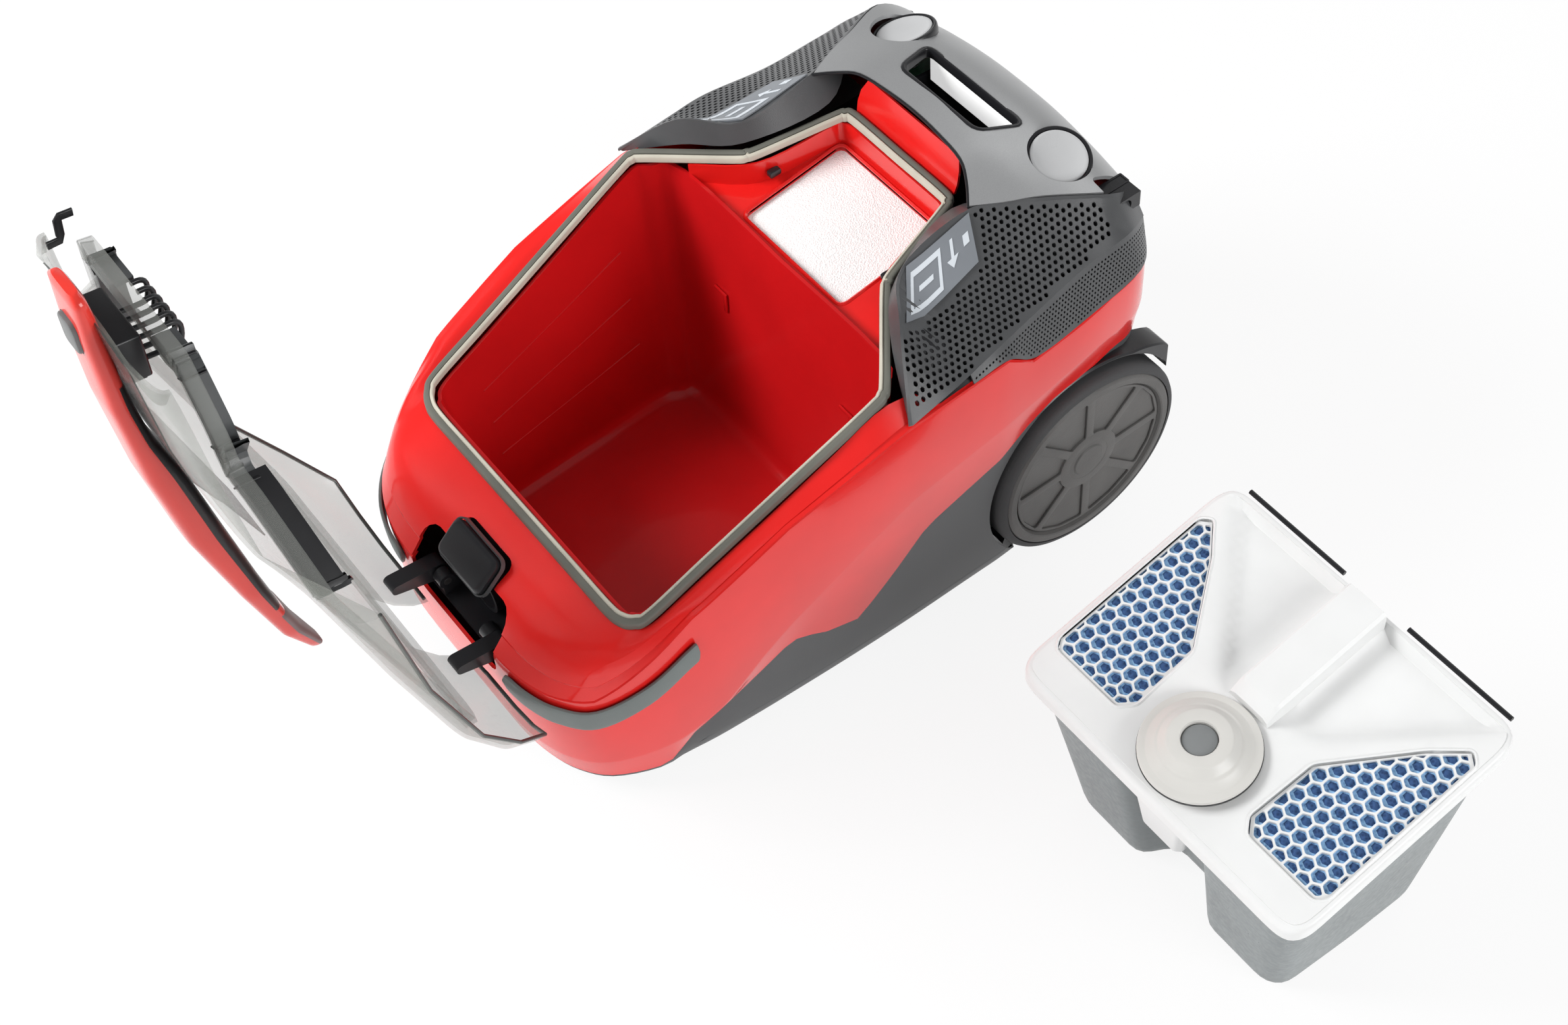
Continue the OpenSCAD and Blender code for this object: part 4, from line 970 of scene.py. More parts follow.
def wheel_disc(s, side):
    body, spot = f"wheel_{side}", wheel_place(s)
    profile = [(0, 150), (60, 150), (60, 131), (73.2, 131), (73.2, 155.5), (71.8, 157.8), (70.3, 158.8),
               (66.2, 159), (65.2, 158.4), (64.4, 156.8), (63.6, 155.4), (62.6, 155), (0, 155)]
    disc = lathe(f"disc_{side}", profile, WHEEL_GREY, body, spot, 96)
    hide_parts(body)
    hub = [(0, 154.6), (25.5, 154.6), (25, 156.6), (24.2, 157), (17, 157), (16.4, 156.2), (13.6, 156.2),
           (13, 157.2), (12, 157.8), (0, 157.9)]
    lathe(f"hub_{side}", hub, WHEEL_GREY, body, spot, 64)


def wheel_spokes(s, side):
    """Flat plate with eight three-cornered gaps, each between a spoke and the middle of the next bay."""
    spot = wheel_place(s)
    near, far, half_spoke = 24.5, 61.5, 3.4
    gaps = []
    for k in range(SPOKES):
        a0, a1 = math.tau * k / SPOKES, math.tau * (k + 1) / SPOKES
        corners = ((near, a0, 1), (far, a0, 1), (far, (a0 + a1) / 2, 0), (far, a1, -1), (near, a1, -1))
        turns = [(r, a + sign * half_spoke / r) for r, a, sign in corners]
        gaps.append(eased([(r * math.cos(a), r * math.sin(a)) for r, a in turns], 3))

    def place(p):
        return spot((p[0], p[1], 156.9 - p[2]))

    spokes = punched(f"spokes_{side}", circle(63.2, 96), gaps, 2.4, place, WHEEL_GREY, f"wheel_{side}")
    bevel(spokes, 0.7)
    shade(spokes, 30)


def wheel_tyre(s, side):
    tread = [(72.6, 130), (75.5, 129.3), (77.6, 129.6), (78.7, 131.5), (79, 134), (79, 140), (78.2, 140.8),
             (78.2, 142), (79, 142.8), (79, 150.5), (78.6, 153.6), (77.2, 156.2), (75, 157.6), (72.9, 157.8)]
    tyre = lathe(f"tyre_{side}", tread, RUBBER, f"wheel_{side}", wheel_place(s), 120, hollow=True)
    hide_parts(f"tread_{side}")


def wheel_arch(s, side):
    """Lip over the wheel, thicker towards the rear, and the wall of the well behind the wheel."""
    arch, near = [], WELL_R - 0.2
    for k in range(49):
        turn = 26 + 190 * k / 48
        a = math.radians(turn)
        far = near + 2.4 + 13 * max(0.0, min(1.0, (62 - turn) / 30))
        section = ((near, 132), (near, 149.5), (84.4, 150.6), (far - 1.2, 150.6), (far, 149.5), (far, 132))
        arch.append([(min(WHEEL_X + r * math.cos(a), ARCH_REAR), s * y, WHEEL_R + r * math.sin(a))
                     for r, y in section])
    stack(f"arch_{side}", arch, BLACK, "chassis", sharp=40)
    wall = [(x, z) for x, z in circle(WELL_R - 0.1, 72, (WHEEL_X, WHEEL_R)) if z > 16 and x < 471]
    stack(f"well_{side}", [[(x, s * y, z) for x, z in wall] for y in (124.4, 125.2)], BLACK, "chassis")


# ---- Rear cover, grip and buttons ----

GRIP = [(391, -38.8), (391, 38.8), (422, 49), (422, -49)]
OUTLET = [(431, -160), (431, -103), (457, -103), (457, -160)]
BUTTON_X, BUTTON_Y, BUTTON_Z, BUTTON_TILT = 426, 78, 286, 20


def height_over(piece):
    """Finds how high the top of a piece stands over a place on the body, in millimetres."""
    bpy.context.view_layer.update()

    def height(x, y):
        start = on_body((x, y, 600))
        hit, where, _, _ = piece.ray_cast(start, Vector((0, 0, -1)))
        return (where.z - BODY.z) / MM if hit else None
    return height


def rear_cover():
    rows = [curve(row + [(x, -y, z) for x, y, z in reversed(row[:-1])], 4) for row in COVER_HALF]
    columns = [curve([row[i] for row in rows], 5) for i in range(len(rows[0]))]
    piece = sheet("cover_silver", columns, 2.5, SILVER, "chassis", (420, 0, 200), sharp=30)
    height = height_over(piece)
    slot = eased(GRIP, 8)
    rim = [(-1.6, -7), (-1.6, -0.6), (-1.0, 0.5), (0.2, 0.9), (1.6, 0.6), (2.2, -0.4), (2.2, -3)]
    band("grip_rim", swept(slot, rim, height), BLACK, "chassis", sharp=50)
    back = turned((440, 0, VENT_Z + 0.5), (1, 0, 0), math.pi / 2)
    buttons = [cutter(circle(22, 64), -14, 20, button_place(s)) for s in (-1, 1)]
    cut(piece, cutter(slot, 240, 330), *buttons, cutter(rounded(92, 21, 3), 0, 60, back),
        cutter(eased(OUTLET, 4), 258, 330))
    shade(piece, 30)
    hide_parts("rear_cover")
    front = [(x - 0.9, y, z - 1.4) for x, y, z in rows[0]]
    tube("cover_joint", front, circle(1.0, 10), BLACK, "chassis")


def cover_openings():
    """White wall in the carry slot, lit by a painted glow, and the dark rim of the cable outlet."""
    lining = [(421.2, -45), (421.2, 45), (422.6, 45), (422.6, -45)]
    slab("grip_lining", lining, 269.5, 288.5, GRIP_GLOW_WHITE)
    lip = eased(OUTLET[1:3] + [(457, -112), (431, -112)], 1.2)
    rim = [at_height(loop, z) for loop, z in ((lip, 258.6), (lip, 271.5), (moved(lip, -1.3), 271.5),
                                              (moved(lip, -1.3), 258.6))]
    band("outlet_rim", rim, BLACK, "chassis")


def button_place(s):
    a = math.radians(BUTTON_TILT)
    return turned((BUTTON_X, s * BUTTON_Y, BUTTON_Z), (0, s * math.sin(a), math.cos(a)))


def button(s, name):
    spot = button_place(s)
    ring = [(19.9, -6), (19.9, 1.2), (20.3, 2.0), (21.2, 2.3), (22.1, 1.8), (22.6, 0.6), (22.6, -3),
            (21.6, -6)]
    piece = lathe(f"button_ring_{name}_dressed", ring, BLACK, "chassis", spot, 72, hollow=True)
    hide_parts(f"button_ring_{name}")
    face = [(0, -5), (18.9, -5), (19.5, -4.2), (19.5, 1.0), (19.1, 1.8), (18.2, 2.1), (17.0, 1.9), (14, 1.2),
            (7, 0.7), (0, 0.6)]
    cap = lathe(f"button_cap_{name}", face, LIGHT_GREY, f"button_{name}", spot, 72)
    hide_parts(f"button_{name}")


# ---- Port and hinge at the nose ----

LATCH_TILT = math.radians(42)


def latch_place():
    return turned((2, 0, 143), (-math.sin(LATCH_TILT), 0, math.cos(LATCH_TILT)))


def port_latch():
    low, high = rounded(27, 50, 5), rounded(22, 45, 4)
    loops = [at_height(loop, z) for loop, z in ((low, 0), (low, 4.2), (mixed(low, high), 5.6), (high, 6))]
    piece = stack("latch_key", loops, BLACK, "port_latch", latch_place())
    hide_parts("port_latch")
    outer, inner = rounded(31.4, 53.4, 7), rounded(29, 51.6, 6)
    rim = [at_height(loop, z) for loop, z in ((outer, -2), (outer, 1.6), (inner, 1.2), (inner, -2))]
    band("latch_frame", rim, DARK_GREY, "chassis", latch_place())


# ---- Lid ----

LID_HALF = [(-23, 48), (-20, 84), (-10, 109), (8, 130), (38, 145.5), (74, 152), (147, 157), (232, 158),
            (261, 114), (291, 80), (330, 76), (345, 73), (367, 68)]
LID_RIM = [(-23, 115), (8, 123), (38, 150), (74, 179), (147, 213), (232, 239), (261, 279), (291, 283),
           (349, 294), (367, 298)]
LID_TOP = [(-23, 117), (-20, 126), (-10, 140), (8, 156), (38, 175), (74, 197), (147, 230), (232, 268),
           (261, 284), (291, 293), (349, 305), (367, 308)]
LID_X = [-23, -22, -20, -15, -10, -4, 2, 8, 15, 22, 30, 38, 50, 62, 74, 92, 110, 128, 147, 168, 190, 211,
         232, 240, 247, 254, 261, 268, 276, 283, 291, 305, 320, 332, 345, 356, 367]
LID_SKIN, LID_STEP = 2.6, 232
HANDLE_TOP = [(28, 212), (60, 233), (114, 256), (175, 280), (237, 297), (300, 309), (350, 315), (384, 317)]
HANDLE_UNDER = [(28, 204), (60, 220), (80, 228), (114, 240), (175, 258), (237, 276), (270, 289), (300, 296),
                (340, 301.5), (368, 305.5), (384, 309)]
HANDLE_HALF = [(28, 5), (60, 12), (114, 17), (384, 17)]
COMB_TEETH, COMB_PITCH = 6, 7.5
STRIP_FROM, STRIP_HALF, HOOK_Y = 150, 16, 63


def lid_point(x, degrees, inward):
    """Place on the shut lid's flattened arch: 0 at the left rim, 180 at the right one."""
    a = math.radians(degrees)
    half, rim, top = (lookup(t, x) for t in (LID_HALF, LID_RIM, LID_TOP))
    c, s = math.cos(a), max(0.0, math.sin(a))
    y = half * squared(c, 0.6) * max(0.0, 1 - inward / half)
    back = 20 * abs(c) ** 1.5 if x > 360 else 0
    return (x - back, y, rim + (top - rim) * s ** 0.6 - inward * s ** 0.4)


def lid_shell():
    turns = [90 - 90 * math.cos(math.pi * k / 40) for k in range(41)]
    outer, inner = ([[lid_point(x, a, depth) for a in turns] for x in LID_X] for depth in (0, LID_SKIN))
    m, n = len(outer), len(turns)
    skin = grid_faces(m, n)
    border = [*range(n), *(r * n + n - 1 for r in range(1, m)),
              *((m - 1) * n + i for i in range(n - 2, -1, -1)), *(r * n for r in range(m - 2, 0, -1))]
    rim = [(a, b, b + m * n, a + m * n) for a, b in zip(border, border[1:] + border[:1])]
    faces = skin + [tuple(i + m * n for i in f) for f in skin] + rim
    piece = build("lid_clear", flat(outer) + flat(inner), faces, SMOKE, "lid", on_lid, sharp=30)
    cut(piece, cutter([(-40, -26), (-40, 26), (14, 26), (14, -26)], 100, 160, on_lid))
    shade(piece, 30)
    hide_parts("lid_shell")
    broad, middle = [x for x in LID_X if x <= LID_STEP], LID_SKIN / 2
    edge = [lid_point(x, 180, middle) for x in reversed(broad)]
    edge += [lid_point(broad[0], a, middle) for a in turns[-2:0:-1]]
    edge += [lid_point(x, 0, middle) for x in broad]
    kept = [p for p in edge if not (p[0] < 5 and abs(p[1]) < 27 and p[2] > 99)]
    for s, side in SIDES:
        line = [p for p in kept if p[1] * s > 0]
        tube(f"lid_edge_{side}", line, circle(1.3, 10), SMOKE_DARK, "lid", on_lid)


RIM_WALL = [(-9.4, -9), (-9.0, -4), (-9.4, 0), (-8.9, 5), (-9.3, 10.6), (-12.6, 10.6), (-11.8, 0),
            (-11.6, -9)]
RIM_CLEAR = [(1.4, 4), (1.8, 12), (-9.3, 12), (-9.3, 10.8), (0.2, 10.8), (-1.4, 4)]
RIM_SIDE_FROM, RIM_SIDE_TO, RIM_REAR_FROM = 228, 287, 284


def lid_frame():
    """Seal carrier: a dark wall hanging from its narrow rear part, and a clear rim all round."""
    line = mirrored(curve(SEAL_LINE, 6))
    away, every = outward(line), range(len(line))

    def ring(i, section):
        (x, y), v, z = line[i], away[i], seal_height(line[i][0])
        inset = 4 * max(0.0, 1 - abs(x - 293) / 14)
        return [(x + v[0] * (out - inset), y + v[1] * (out - inset), z + up) for out, up in section]

    for s, side in SIDES:
        rear = [i for i in every if line[i][0] >= RIM_REAR_FROM and line[i][1] * s > 21]
        raised = [(out, max(up, -3.2)) for out, up in RIM_WALL]
        piece = stack(f"lid_rim_rear_{side}", [ring(i, raised) for i in rear], FRAME_GREY, "lid", on_lid, 28)
        if s < 0:
            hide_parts("lid_frame")
        part = [i for i in every if RIM_SIDE_FROM <= line[i][0] <= RIM_SIDE_TO and line[i][1] * s > 0]
        stack(f"lid_rim_{side}", [ring(i, RIM_WALL) for i in part], BLACK, "lid", on_lid, 28)
        for k, seam_x in enumerate((RIM_REAR_FROM, 297, 338, 357)):
            i = min((i for i in every if line[i][1] * s > 30), key=lambda i: abs(line[i][0] - seam_x))
            seam = ring(i, [(-8.4, -2.5), (-8.3, 11), (-12.8, 11)])
            tube(f"lid_seam_{k}_{side}", seam, rounded(1.5, 1.1, 0.3), BLACK, "lid", on_lid, up=(1, 0, 0))
    rings = [ring(i, RIM_CLEAR) for i in every]
    band("lid_rim_clear", list(zip(*rings)), SMOKE_PALE, "lid", on_lid, sharp=28)


def handle_section(x, turns, k=1.0, grow=0.0):
    """Squarish section of the handle, scaled by k and then grown all round."""
    half, top, low = (lookup(t, x) for t in (HANDLE_HALF, HANDLE_TOP, HANDLE_UNDER))
    mid, tall = (top + low) / 2, (top - low) / 2
    return [(x, (half * k + grow) * squared(math.cos(a), 0.5),
             mid + (tall * k + grow) * squared(math.sin(a), 0.6)) for a in turns]


def lid_handle():
    first, last = HANDLE_TOP[0][0], HANDLE_TOP[-1][0]
    turns, loops = [math.tau * i / 32 for i in range(32)], []
    for i in range(89):
        x = first + (last - first) * i / 88
        end = min(1.0, (x - first + 1) / 6, (last + 1 - x) / 6)
        k = 0.35 + 0.65 * math.sqrt(max(0.0, 1 - (1 - end) ** 2))
        loops.append(handle_section(x, turns, k))
    piece = stack("handle_red", loops, HANDLE_RED, "lid", on_lid, sharp=50)
    cut(piece, cutter(rounded(23, 19, 5.5), -9, 20, key_place()))
    shade(piece, 50)
    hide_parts("lid_handle")
    turns = [math.radians(188 + 164 * i / 16) for i in range(17)]
    # Painted shade: a black sheet on the lower part of the handle, from x 92 to 318, darkens its underside.
    for name, x0, x1, material in (("handle_painted_shade", 92, 318, BLACK), ("handle_tip", 31, 84, TIP_GREY)):
        rows = [handle_section(x0 + (x1 - x0) * k / 32, turns, grow=0.5 * min(1.0, k / 2, (32 - k) / 2))
                for k in range(33)]
        sheet(name, rows, 1.2, material, "lid", (180, 0, 400), on_lid)


def key_place():
    tilt = math.radians(6)
    return turned((351, 0, 315.3), (-math.sin(tilt), 0, math.cos(tilt)), place=on_lid)


def lid_key():
    loops = [at_height(rounded(22 - 2 * d, 18 - 2 * d, 5 - d), z)
             for z, d in ((-5.2, 0), (0.6, 0), (1.4, 0.5), (1.8, 1.4))]
    cap = stack("key_grey", loops, KEY_GREY, "lid_button", key_place())
    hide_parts("lid_button")


def lid_comb():
    low = [(322, -22, 285), (352, -22, 288), (352, 22, 288), (322, 22, 285)]
    high = [(322, -22, 297.5), (352, -22, 303.5), (352, 22, 303.5), (322, 22, 297.5)]
    comb = stack("comb_body", [low, high], BLACK, "lid", on_lid)
    bevel(comb, 1.6, 3)
    shade(comb, 40)
    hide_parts("lid_baffle")
    hook = [(333, 292), (333, 270), (336, 266), (345, 265.4), (348.4, 268.5), (348.4, 274)]
    for k in range(COMB_TEETH):
        y = (k - (COMB_TEETH - 1) / 2) * COMB_PITCH
        tooth = curve([(x, y, z) for x, z in hook], 3)
        tube(f"comb_tooth_{k}", tooth, rounded(2.8, 2.6, 0.9), BLACK, "lid", on_lid, up=(0, 1, 0))
        rib = [(321, y, 288), (321, y, 296)]
        tube(f"comb_rib_{k}", rib, rounded(2.2, 2.2, 0.7), BLACK, "lid", on_lid, up=(1, 0, 0))


def lid_trim():
    """Smoked strip under the handle, and the catch at the rear end."""
    strip = []
    for x in (x for x in LID_X if x >= STRIP_FROM):
        half = STRIP_HALF + 28 * min(1.0, (x - STRIP_FROM) / 90)
        edge = math.degrees(math.acos(min(1.0, half / lookup(LID_HALF, x)) ** (1 / 0.6)))
        strip.append([lid_point(x, edge + (180 - 2 * edge) * k / 12, -0.5) for k in range(13)])
    sheet("lid_smoked_strip", strip, 0.8, SMOKE_STRIP, "lid", (250, 0, 100), on_lid)
    hook = [(353, 298), (353.6, 290.6), (357, 289.9), (367, 289.9), (368.8, 288.6), (368.8, 281)]
    line = [(x, HOOK_Y, z) for x, z in hook]
    tube("lid_hook", line, rounded(5, 1.8, 0.7), BLACK, "lid", on_lid, up=(0, 1, 0))


# ---- Water filter box ----

BOX_W, BOX_DEEP, BOX_FRONT, BOX_RISE, SKIRT = 238, 174, 157, 40, 12
COVER_EDGE = [(0, 0), (0, 105), (3, 114), (12, 119), (100, 119), (160, 119), (170, 115), (174, 106),
              (174, 0)]
GRILLE = [(24, 108), (30, 113), (142, 113), (147, 106), (129, 88), (79, 50), (33, 48), (24, 56)]
BOX_TOP = [(32, 0), (32, 24), (6, 36), (6, 100), (15, 112), (90, 113.5), (156, 113.5), (167, 104),
           (167, 0)]
BOX_LOW = [(56, 0), (56, 18), (33, 30), (33, 82), (42, 92), (95, 94), (146, 94), (156, 84), (156, 0)]
GRILLE_MIDDLE = (88, 85)
HEX_PITCH, HEX_COLUMNS, HEX_ROWS = 9.6, 19, 9
DOME_U = 39


def cover_z(u, _=0):
    """Height of the sloping cover u back from its front edge; a place across it changes nothing."""
    return BOX_FRONT + u * BOX_RISE / BOX_DEEP


def dish(u, w):
    """How far the cover sinks into the shallow basin on each side of the duct."""
    w = abs(w)
    if u < 74 or w < 16:
        return 0.0
    line = 22 + (u - 66) * 0.88
    across = min(1.0, max(0.0, (line - w) / 16), (w - 15) / 5)
    along = min(1.0, (u - 74) / 24, max(0.0, (171 - u) / 4))
    return 9.0 * max(0.0, across) * max(0.0, along)


def crown(u, w):
    edge = min(1.0, (BOX_W / 2 - abs(w)) / 26, (u + 1) / 22, (BOX_DEEP + 2 - u) / 22)
    return 1.6 * math.sin(max(0.0, edge) * math.pi / 2) - 1.6 - dish(u, w)


def domed(u, w):
    return cover_z(u) + crown(u, w)


def grille(s):
    return eased([(u, s * w) for u, w in GRILLE], 3, 3)


def box_cover():
    edge = eased(mirrored(COVER_EDGE), 9, 3)
    holes = [grille(s) for s in (-1, 1)]
    inner = [(u, w) for u in range(4, 172, 6) for w in range(-114, 115, 6)
             if inside_polygon((u, w), moved(edge, -6)) and not any(inside_polygon((u, w), h) for h in holes)]
    holes.append(circle(23.5, 48, (DOME_U, 0)))
    inner = [p for p in inner if math.dist(p, (DOME_U, 0)) > 26]

    def place(p):
        return on_box((p[0], p[1], domed(p[0], p[1]) - p[2]))

    piece = punched("box_lid", moved(edge, -4), holes, 2.6, place, WHITE, "filter_cover", inner, 40)
    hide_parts("box_cover")
    rim = ((-4.2, -1.6), (-2.4, -1.8), (-1.0, -2.6), (-0.2, -4.2), (0, -6), (0, -SKIRT), (-2.6, -SKIRT),
           (-2.8, -5.2), (-4.2, -4.2))
    band("box_rim", swept(edge, rim, cover_z), WHITE, "filter_cover", on_box, sharp=40)
    lip = ((0, -6.5), (0, 0.2), (0.8, 0.7), (1.8, 0.1), (1.8, -4))
    for s, side in SIDES:
        hole = grille(s)[::s]
        band(f"grille_lip_{side}", swept(hole, lip, domed), WHITE, "filter_cover", on_box, sharp=50)
    front = [(5, -20), (5, 20), (9, 26), (30, 20), (30, -20), (9, -26)]
    loops = [[(x + (cover_z(0) - z) * 0.12, y * k, z) for x, y in front]
             for z, k in ((cover_z(6) - 8, 1.0), (cover_z(0) - 34, 0.86), (cover_z(0) - 62, 0.66))]
    apron = stack("box_apron", loops, WHITE, "filter_cover", on_box)
    bevel(apron, 2.0, 3)
    shade(apron, 40)


def scaled(outline, centre, ku, kw, shift=0.0):
    """Outline scaled about a centre and moved back by a shift."""
    cu, cw = centre
    return [(cu + (u - cu) * ku + shift, cw + (w - cw) * kw) for u, w in outline]


def box_media():
    """Hexagonal grilles, the blue foam pads below them, and a dark blue patch in each cell, painted shade for the
    hollows in the foam.
    """
    def place(p):
        return on_box((p[0], p[1], cover_z(p[0]) - 2.4 - p[2]))

    for s, side in SIDES:
        centre = (GRILLE_MIDDLE[0], s * GRILLE_MIDDLE[1])
        pad = scaled([(u, s * w) for u, w in GRILLE], centre, 0.985, 0.985)
        room = scaled(pad, centre, 0.965, 0.965)
        if signed_area(room) < 0:
            room = room[::-1]
        cells = []
        for i in range(HEX_COLUMNS):
            for j in range(HEX_ROWS):
                u, w = 20 + i * (HEX_PITCH * 0.866), s * (42 + (j + (i % 2) / 2) * HEX_PITCH)
                shape = clipped(circle(HEX_PITCH * 0.505, 6, (u, w)), room)
                if shape and signed_area(shape) > 6:
                    cells.append(shape)
        holes = [eased(shape, 1.0, 2) for shape in cells]
        mesh = punched(f"mesh_{side}", pad, holes, 1.6, place, WHITE, "filter_cover")
        loops = [[(u, w, cover_z(u) + dz) for u, w in pad] for dz in (-11, -5.2)]
        foam_pad = stack(f"media_{side}", loops, FILTER_BLUE, "filter_cover", on_box)
        if s < 0:
            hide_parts("mesh_grilles")
            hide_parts("filter_media")
        # Each cell gets a dark blue patch, set back a little from its middle, as painted shade in the hollow of
        # the foam.
        for k, shape in enumerate(cells):
            centre = [sum(values) / len(shape) for values in zip(*shape)]
            base = scaled(shape, centre, 0.6, 0.8, 1.5)
            low = [(u, w, cover_z(u) - 5.3) for u, w in base]
            crest = scaled(base, centre, 0.6, 0.6, 0.9)
            high = [(x, y, cover_z(u) - 4.5) for (x, y), (u, _) in zip(crest, base)]
            stack(f"pit_{side}_{k}", [low, high], FILTER_PAINTED_SHADE, "filter_cover", on_box, sharp=60)


def box_dome():
    """Cream inlet dome with its grey disc and a ring of painted shadow under its rim, and the white duct behind
    it.
    """
    a = math.atan(BOX_RISE / BOX_DEEP) / 2
    spot = turned((DOME_U, 0, cover_z(DOME_U)), (-math.sin(a), 0, math.cos(a)), place=on_box)
    profile = [(11, -8), (11, 16.8), (11.6, 17.8), (12.6, 18), (18.6, 18), (19.8, 17.5), (20.6, 16.6),
               (23.9, 13.4), (24.6, 12.8), (25.4, 12.6), (26.2, 12.2), (27, 11.6), (31.2, 8.3), (32.2, 7.9),
               (35, 7.8), (36.2, 7.3), (36.5, 6.4), (36.5, 5.2), (36, 4.6), (25, 4.6), (23, 2.4), (23, -8)]
    piece = lathe("dome_cream", profile, CREAM, "filter_cover", spot, 96, sharp=28, hollow=True)
    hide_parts("inlet_dome")
    profile = [(0, 9), (10.7, 9), (10.7, 14.8), (10, 15.6), (0, 15.4)]
    disc = lathe("dome_disc", profile, DISC_GREY, "filter_cover", spot, 64)
    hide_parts("inlet_disc")
    # Painted shadow: a dark grey ring in the gap under the dome's rim.
    shadow = [(35.6, 3.6), (36.9, 3.6), (36.9, 4.6), (35.6, 4.6)]
    lathe("dome_gap_shadow", shadow, DARK_GREY, "filter_cover", spot, 96, hollow=True)
    loops = []
    for k in range(31):
        u = 76 + 92 * k / 30
        low, high = cover_z(u) - 8.5, cover_z(u) + 9.6 * min(1.0, 0.55 + (u - 76) / 18)
        half = [(16, low), (16, high - 5), (15.2, high - 2.2), (13.2 if u > 84 else 11.5, high)]
        loops.append([*((u, -w, z) for w, z in half), (u, 0, high + 0.5),
                      *((u, w, z) for w, z in reversed(half))])
    duct = stack("duct_white", loops, WHITE, "filter_cover", on_box, sharp=25)
    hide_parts("air_duct")


def box_tub():
    top, low = eased(mirrored(BOX_TOP), 9, 3), eased(mirrored(BOX_LOW), 9, 3)
    outer = []
    for t in (1, 0.75, 0.5, 0.25, 0.08):
        level = [mix(a, b, t) for a, b in zip(low, top)]
        outer.append([(u, w, (cover_z(u) - SKIRT - 0.6) * t) for u, w in level])
    for k in range(1, 5):
        a = math.radians(90 * k / 4)
        base = [mix(p, q, 0.08 * (1 - k / 4)) for p, q in zip(low, top)]
        outer.append([(u, w, 12 * (1 - math.sin(a))) for u, w in moved(base, -9 * (1 - math.cos(a)))])
    inner = [[(u, w, z + (2.4 if r else 0)) for u, w, z in moved(loop, -2.4)] for r, loop in enumerate(outer)]
    piece = vessel("tub_smoke", outer, inner, SMOKE_TUB, "filter_box", on_box)
    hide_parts("box_tub")
    ledge = [(0.4, -SKIRT - 1.2), (1.6, -SKIRT - 2.2), (1.6, -SKIRT - 6), (0.2, -SKIRT - 8)]
    band("tub_ledge", swept(top, ledge, cover_z), SMOKE_TUB, "filter_box", on_box, sharp=40)


# ---- Everything together ----

dress_cad_nodes()
body_shell()
tub_liner()
tub_details()
shelf_floor()
shelf_walls()
tub_gasket()
for sign, side in reversed(SIDES):
    bumper(sign, side)
pan_skirt()
rear_cover()
cover_openings()
for sign, side in reversed(SIDES):
    flank(sign, side)
    symbol_panel(sign, side)
    wheel_disc(sign, side)
    wheel_spokes(sign, side)
    wheel_tyre(sign, side)
    wheel_arch(sign, side)
    button(sign, "rewind" if sign > 0 else "power")
port_latch()
lid_shell()
lid_frame()
lid_handle()
lid_key()
lid_comb()
lid_trim()
box_cover()
box_media()
box_dome()
box_tub()


# ---- Camera, light and floor ----

FILL, HORIZON, OVERHEAD = 0.42, 0.55, 0.2
FLOOR_REACH, FLOOR_TONE, FLOOR_GLOW = 6, 0.9, 0.88


def set_camera():
    """Looks down on the right side from the front, at the photograph's angle."""
    target = on_body((187.97, -85.79, 120))
    azimuth, elevation, roll = (math.radians(a) for a in (-122.478, 53.016, -5.768))
    distance, flat_part = 1.55153, math.cos(elevation)
    back = Vector((math.cos(azimuth) * flat_part, math.sin(azimuth) * flat_part, math.sin(elevation)))
    level = Vector((-math.sin(azimuth), math.cos(azimuth), 0))
    upright = back.cross(level)
    right = level * math.cos(roll) + upright * math.sin(roll)
    above = upright * math.cos(roll) - level * math.sin(roll)
    lens = bpy.data.cameras.new("camera")
    lens.sensor_width, lens.lens = 36, 54.089
    camera = bpy.data.objects.new("camera", lens)
    turn = Matrix((right, above, back)).transposed()
    camera.matrix_world = Matrix.Translation(target + back * distance) @ turn.to_4x4()
    bpy.context.scene.collection.objects.link(camera)
    bpy.context.scene.camera = camera


def lamp(name, place, size, power, in_mirrors=True):
    """Soft rectangular light aimed at the middle of the object."""
    light = bpy.data.lights.new(name, "AREA")
    light.shape, light.size, light.size_y, light.energy = "RECTANGLE", size[0], size[1], power
    piece = bpy.data.objects.new(name, light)
    piece.location = place
    piece.visible_glossy = in_mirrors
    piece.rotation_euler = (Vector((0, 0, 0.1)) - Vector(place)).to_track_quat("-Z", "Y").to_euler()
    bpy.context.scene.collection.objects.link(piece)


def any_of(tree, *kinds):
    """1 where a ray is of one of the named kinds."""
    path = tree.nodes.new("ShaderNodeLightPath")
    total = path.outputs[kinds[0]]
    for kind in kinds[1:]:
        join = tree.nodes.new("ShaderNodeMath")
        join.operation, join.use_clamp = "ADD", True
        tree.links.new(total, join.inputs[0])
        tree.links.new(path.outputs[kind], join.inputs[1])
        total = join.outputs["Value"]
    return total


def blended(tree, share, first, second):
    blend = tree.nodes.new("ShaderNodeMixShader")
    tree.links.new(share, blend.inputs["Fac"])
    tree.links.new(first.outputs[0], blend.inputs[1])
    tree.links.new(second.outputs[0], blend.inputs[2])
    return blend


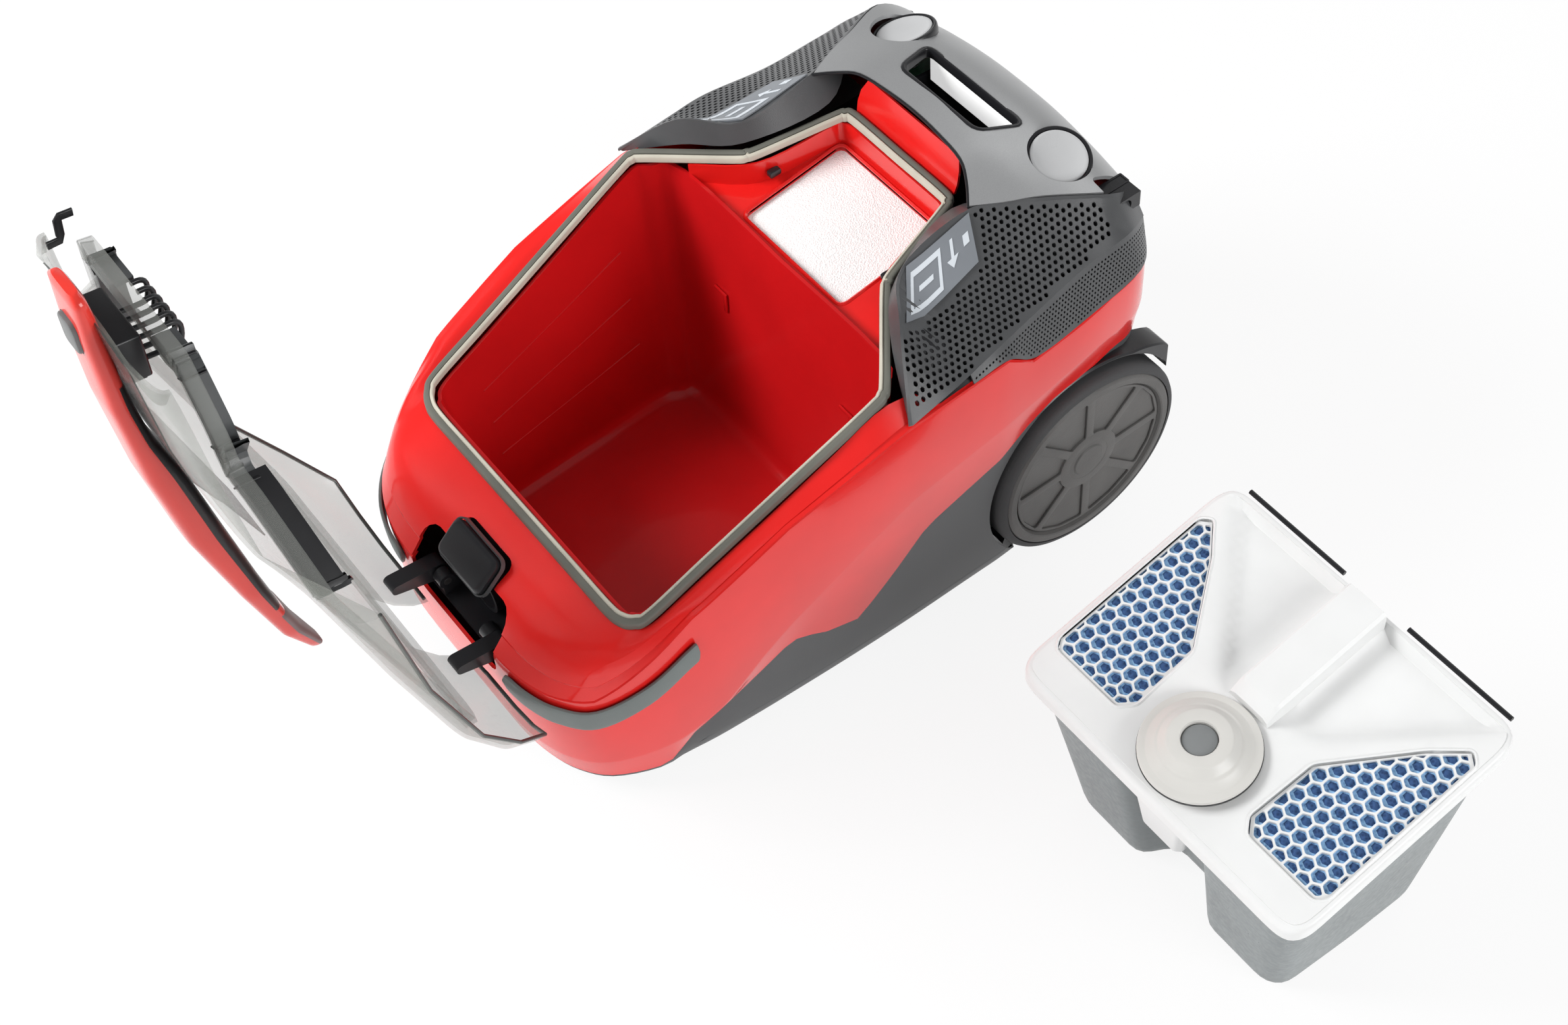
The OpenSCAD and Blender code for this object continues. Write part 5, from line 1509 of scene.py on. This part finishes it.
def set_world():
    """White behind everything, grey as a light, and fading overhead in mirror images."""
    world = bpy.data.worlds.new("studio")
    world.use_nodes = True
    tree = world.node_tree
    bpy.context.scene.world = world
    ground = tree.nodes["Background"]
    ground.inputs["Color"].default_value = (FILL, FILL, FILL * 1.01, 1)
    room, white = tree.nodes.new("ShaderNodeBackground"), tree.nodes.new("ShaderNodeBackground")
    white.inputs["Color"].default_value = (1, 1, 1, 1)
    place = tree.nodes.new("ShaderNodeTexCoord")
    split = tree.nodes.new("ShaderNodeSeparateXYZ")
    fade = tree.nodes.new("ShaderNodeValToRGB")
    for mark, (where, tone) in zip(fade.color_ramp.elements, ((0.05, HORIZON), (0.5, OVERHEAD))):
        mark.position, mark.color = where, (tone, tone, tone, 1)
    tree.links.new(place.outputs["Generated"], split.inputs["Vector"])
    tree.links.new(split.outputs["Z"], fade.inputs["Fac"])
    tree.links.new(fade.outputs["Color"], room.inputs["Color"])
    mirrored_room = blended(tree, any_of(tree, "Is Glossy Ray"), ground, room)
    result = blended(tree, any_of(tree, "Is Camera Ray", "Is Transmission Ray"), mirrored_room, white)
    tree.links.new(result.outputs["Shader"], tree.nodes["World Output"].inputs["Surface"])


def set_floor():
    mesh = bpy.data.meshes.new("floor")
    reach = FLOOR_REACH
    corners = [(-reach, -reach, 0), (reach, -reach, 0), (reach, reach, 0), (-reach, reach, 0)]
    mesh.from_pydata(corners, [], [(0, 1, 2, 3)])
    floor = bpy.data.objects.new("floor", mesh)
    bpy.context.scene.collection.objects.link(floor)
    material = bpy.data.materials.new("paper")
    material.use_nodes = True
    tree = material.node_tree
    paper = tree.nodes["Principled BSDF"]
    paper.inputs["Base Color"].default_value = (FLOOR_TONE, FLOOR_TONE, FLOOR_TONE, 1)
    paper.inputs["Roughness"].default_value = 0.9
    paper.inputs["Specular IOR Level"].default_value = 0.1
    glow = tree.nodes.new("ShaderNodeEmission")
    share = tree.nodes.new("ShaderNodeMath")
    share.operation = "MULTIPLY"
    share.inputs[1].default_value = FLOOR_GLOW
    tree.links.new(any_of(tree, "Is Camera Ray", "Is Glossy Ray", "Is Transmission Ray"), share.inputs[0])
    result = blended(tree, share.outputs["Value"], paper, glow)
    tree.links.new(result.outputs["Shader"], tree.nodes["Material Output"].inputs["Surface"])
    mesh.materials.append(material)


bpy.context.scene.view_settings.view_transform = "Standard"
set_camera()
lamp("key", (-1.7, 1.5, 1.8), (1.2, 1.2), 84, in_mirrors=False)
lamp("fill", (0.5, -2.6, 1.4), (1.6, 1.2), 46)
lamp("back", (2.3, 0.8, 2.0), (1.6, 1.2), 9)
set_world()
set_floor()
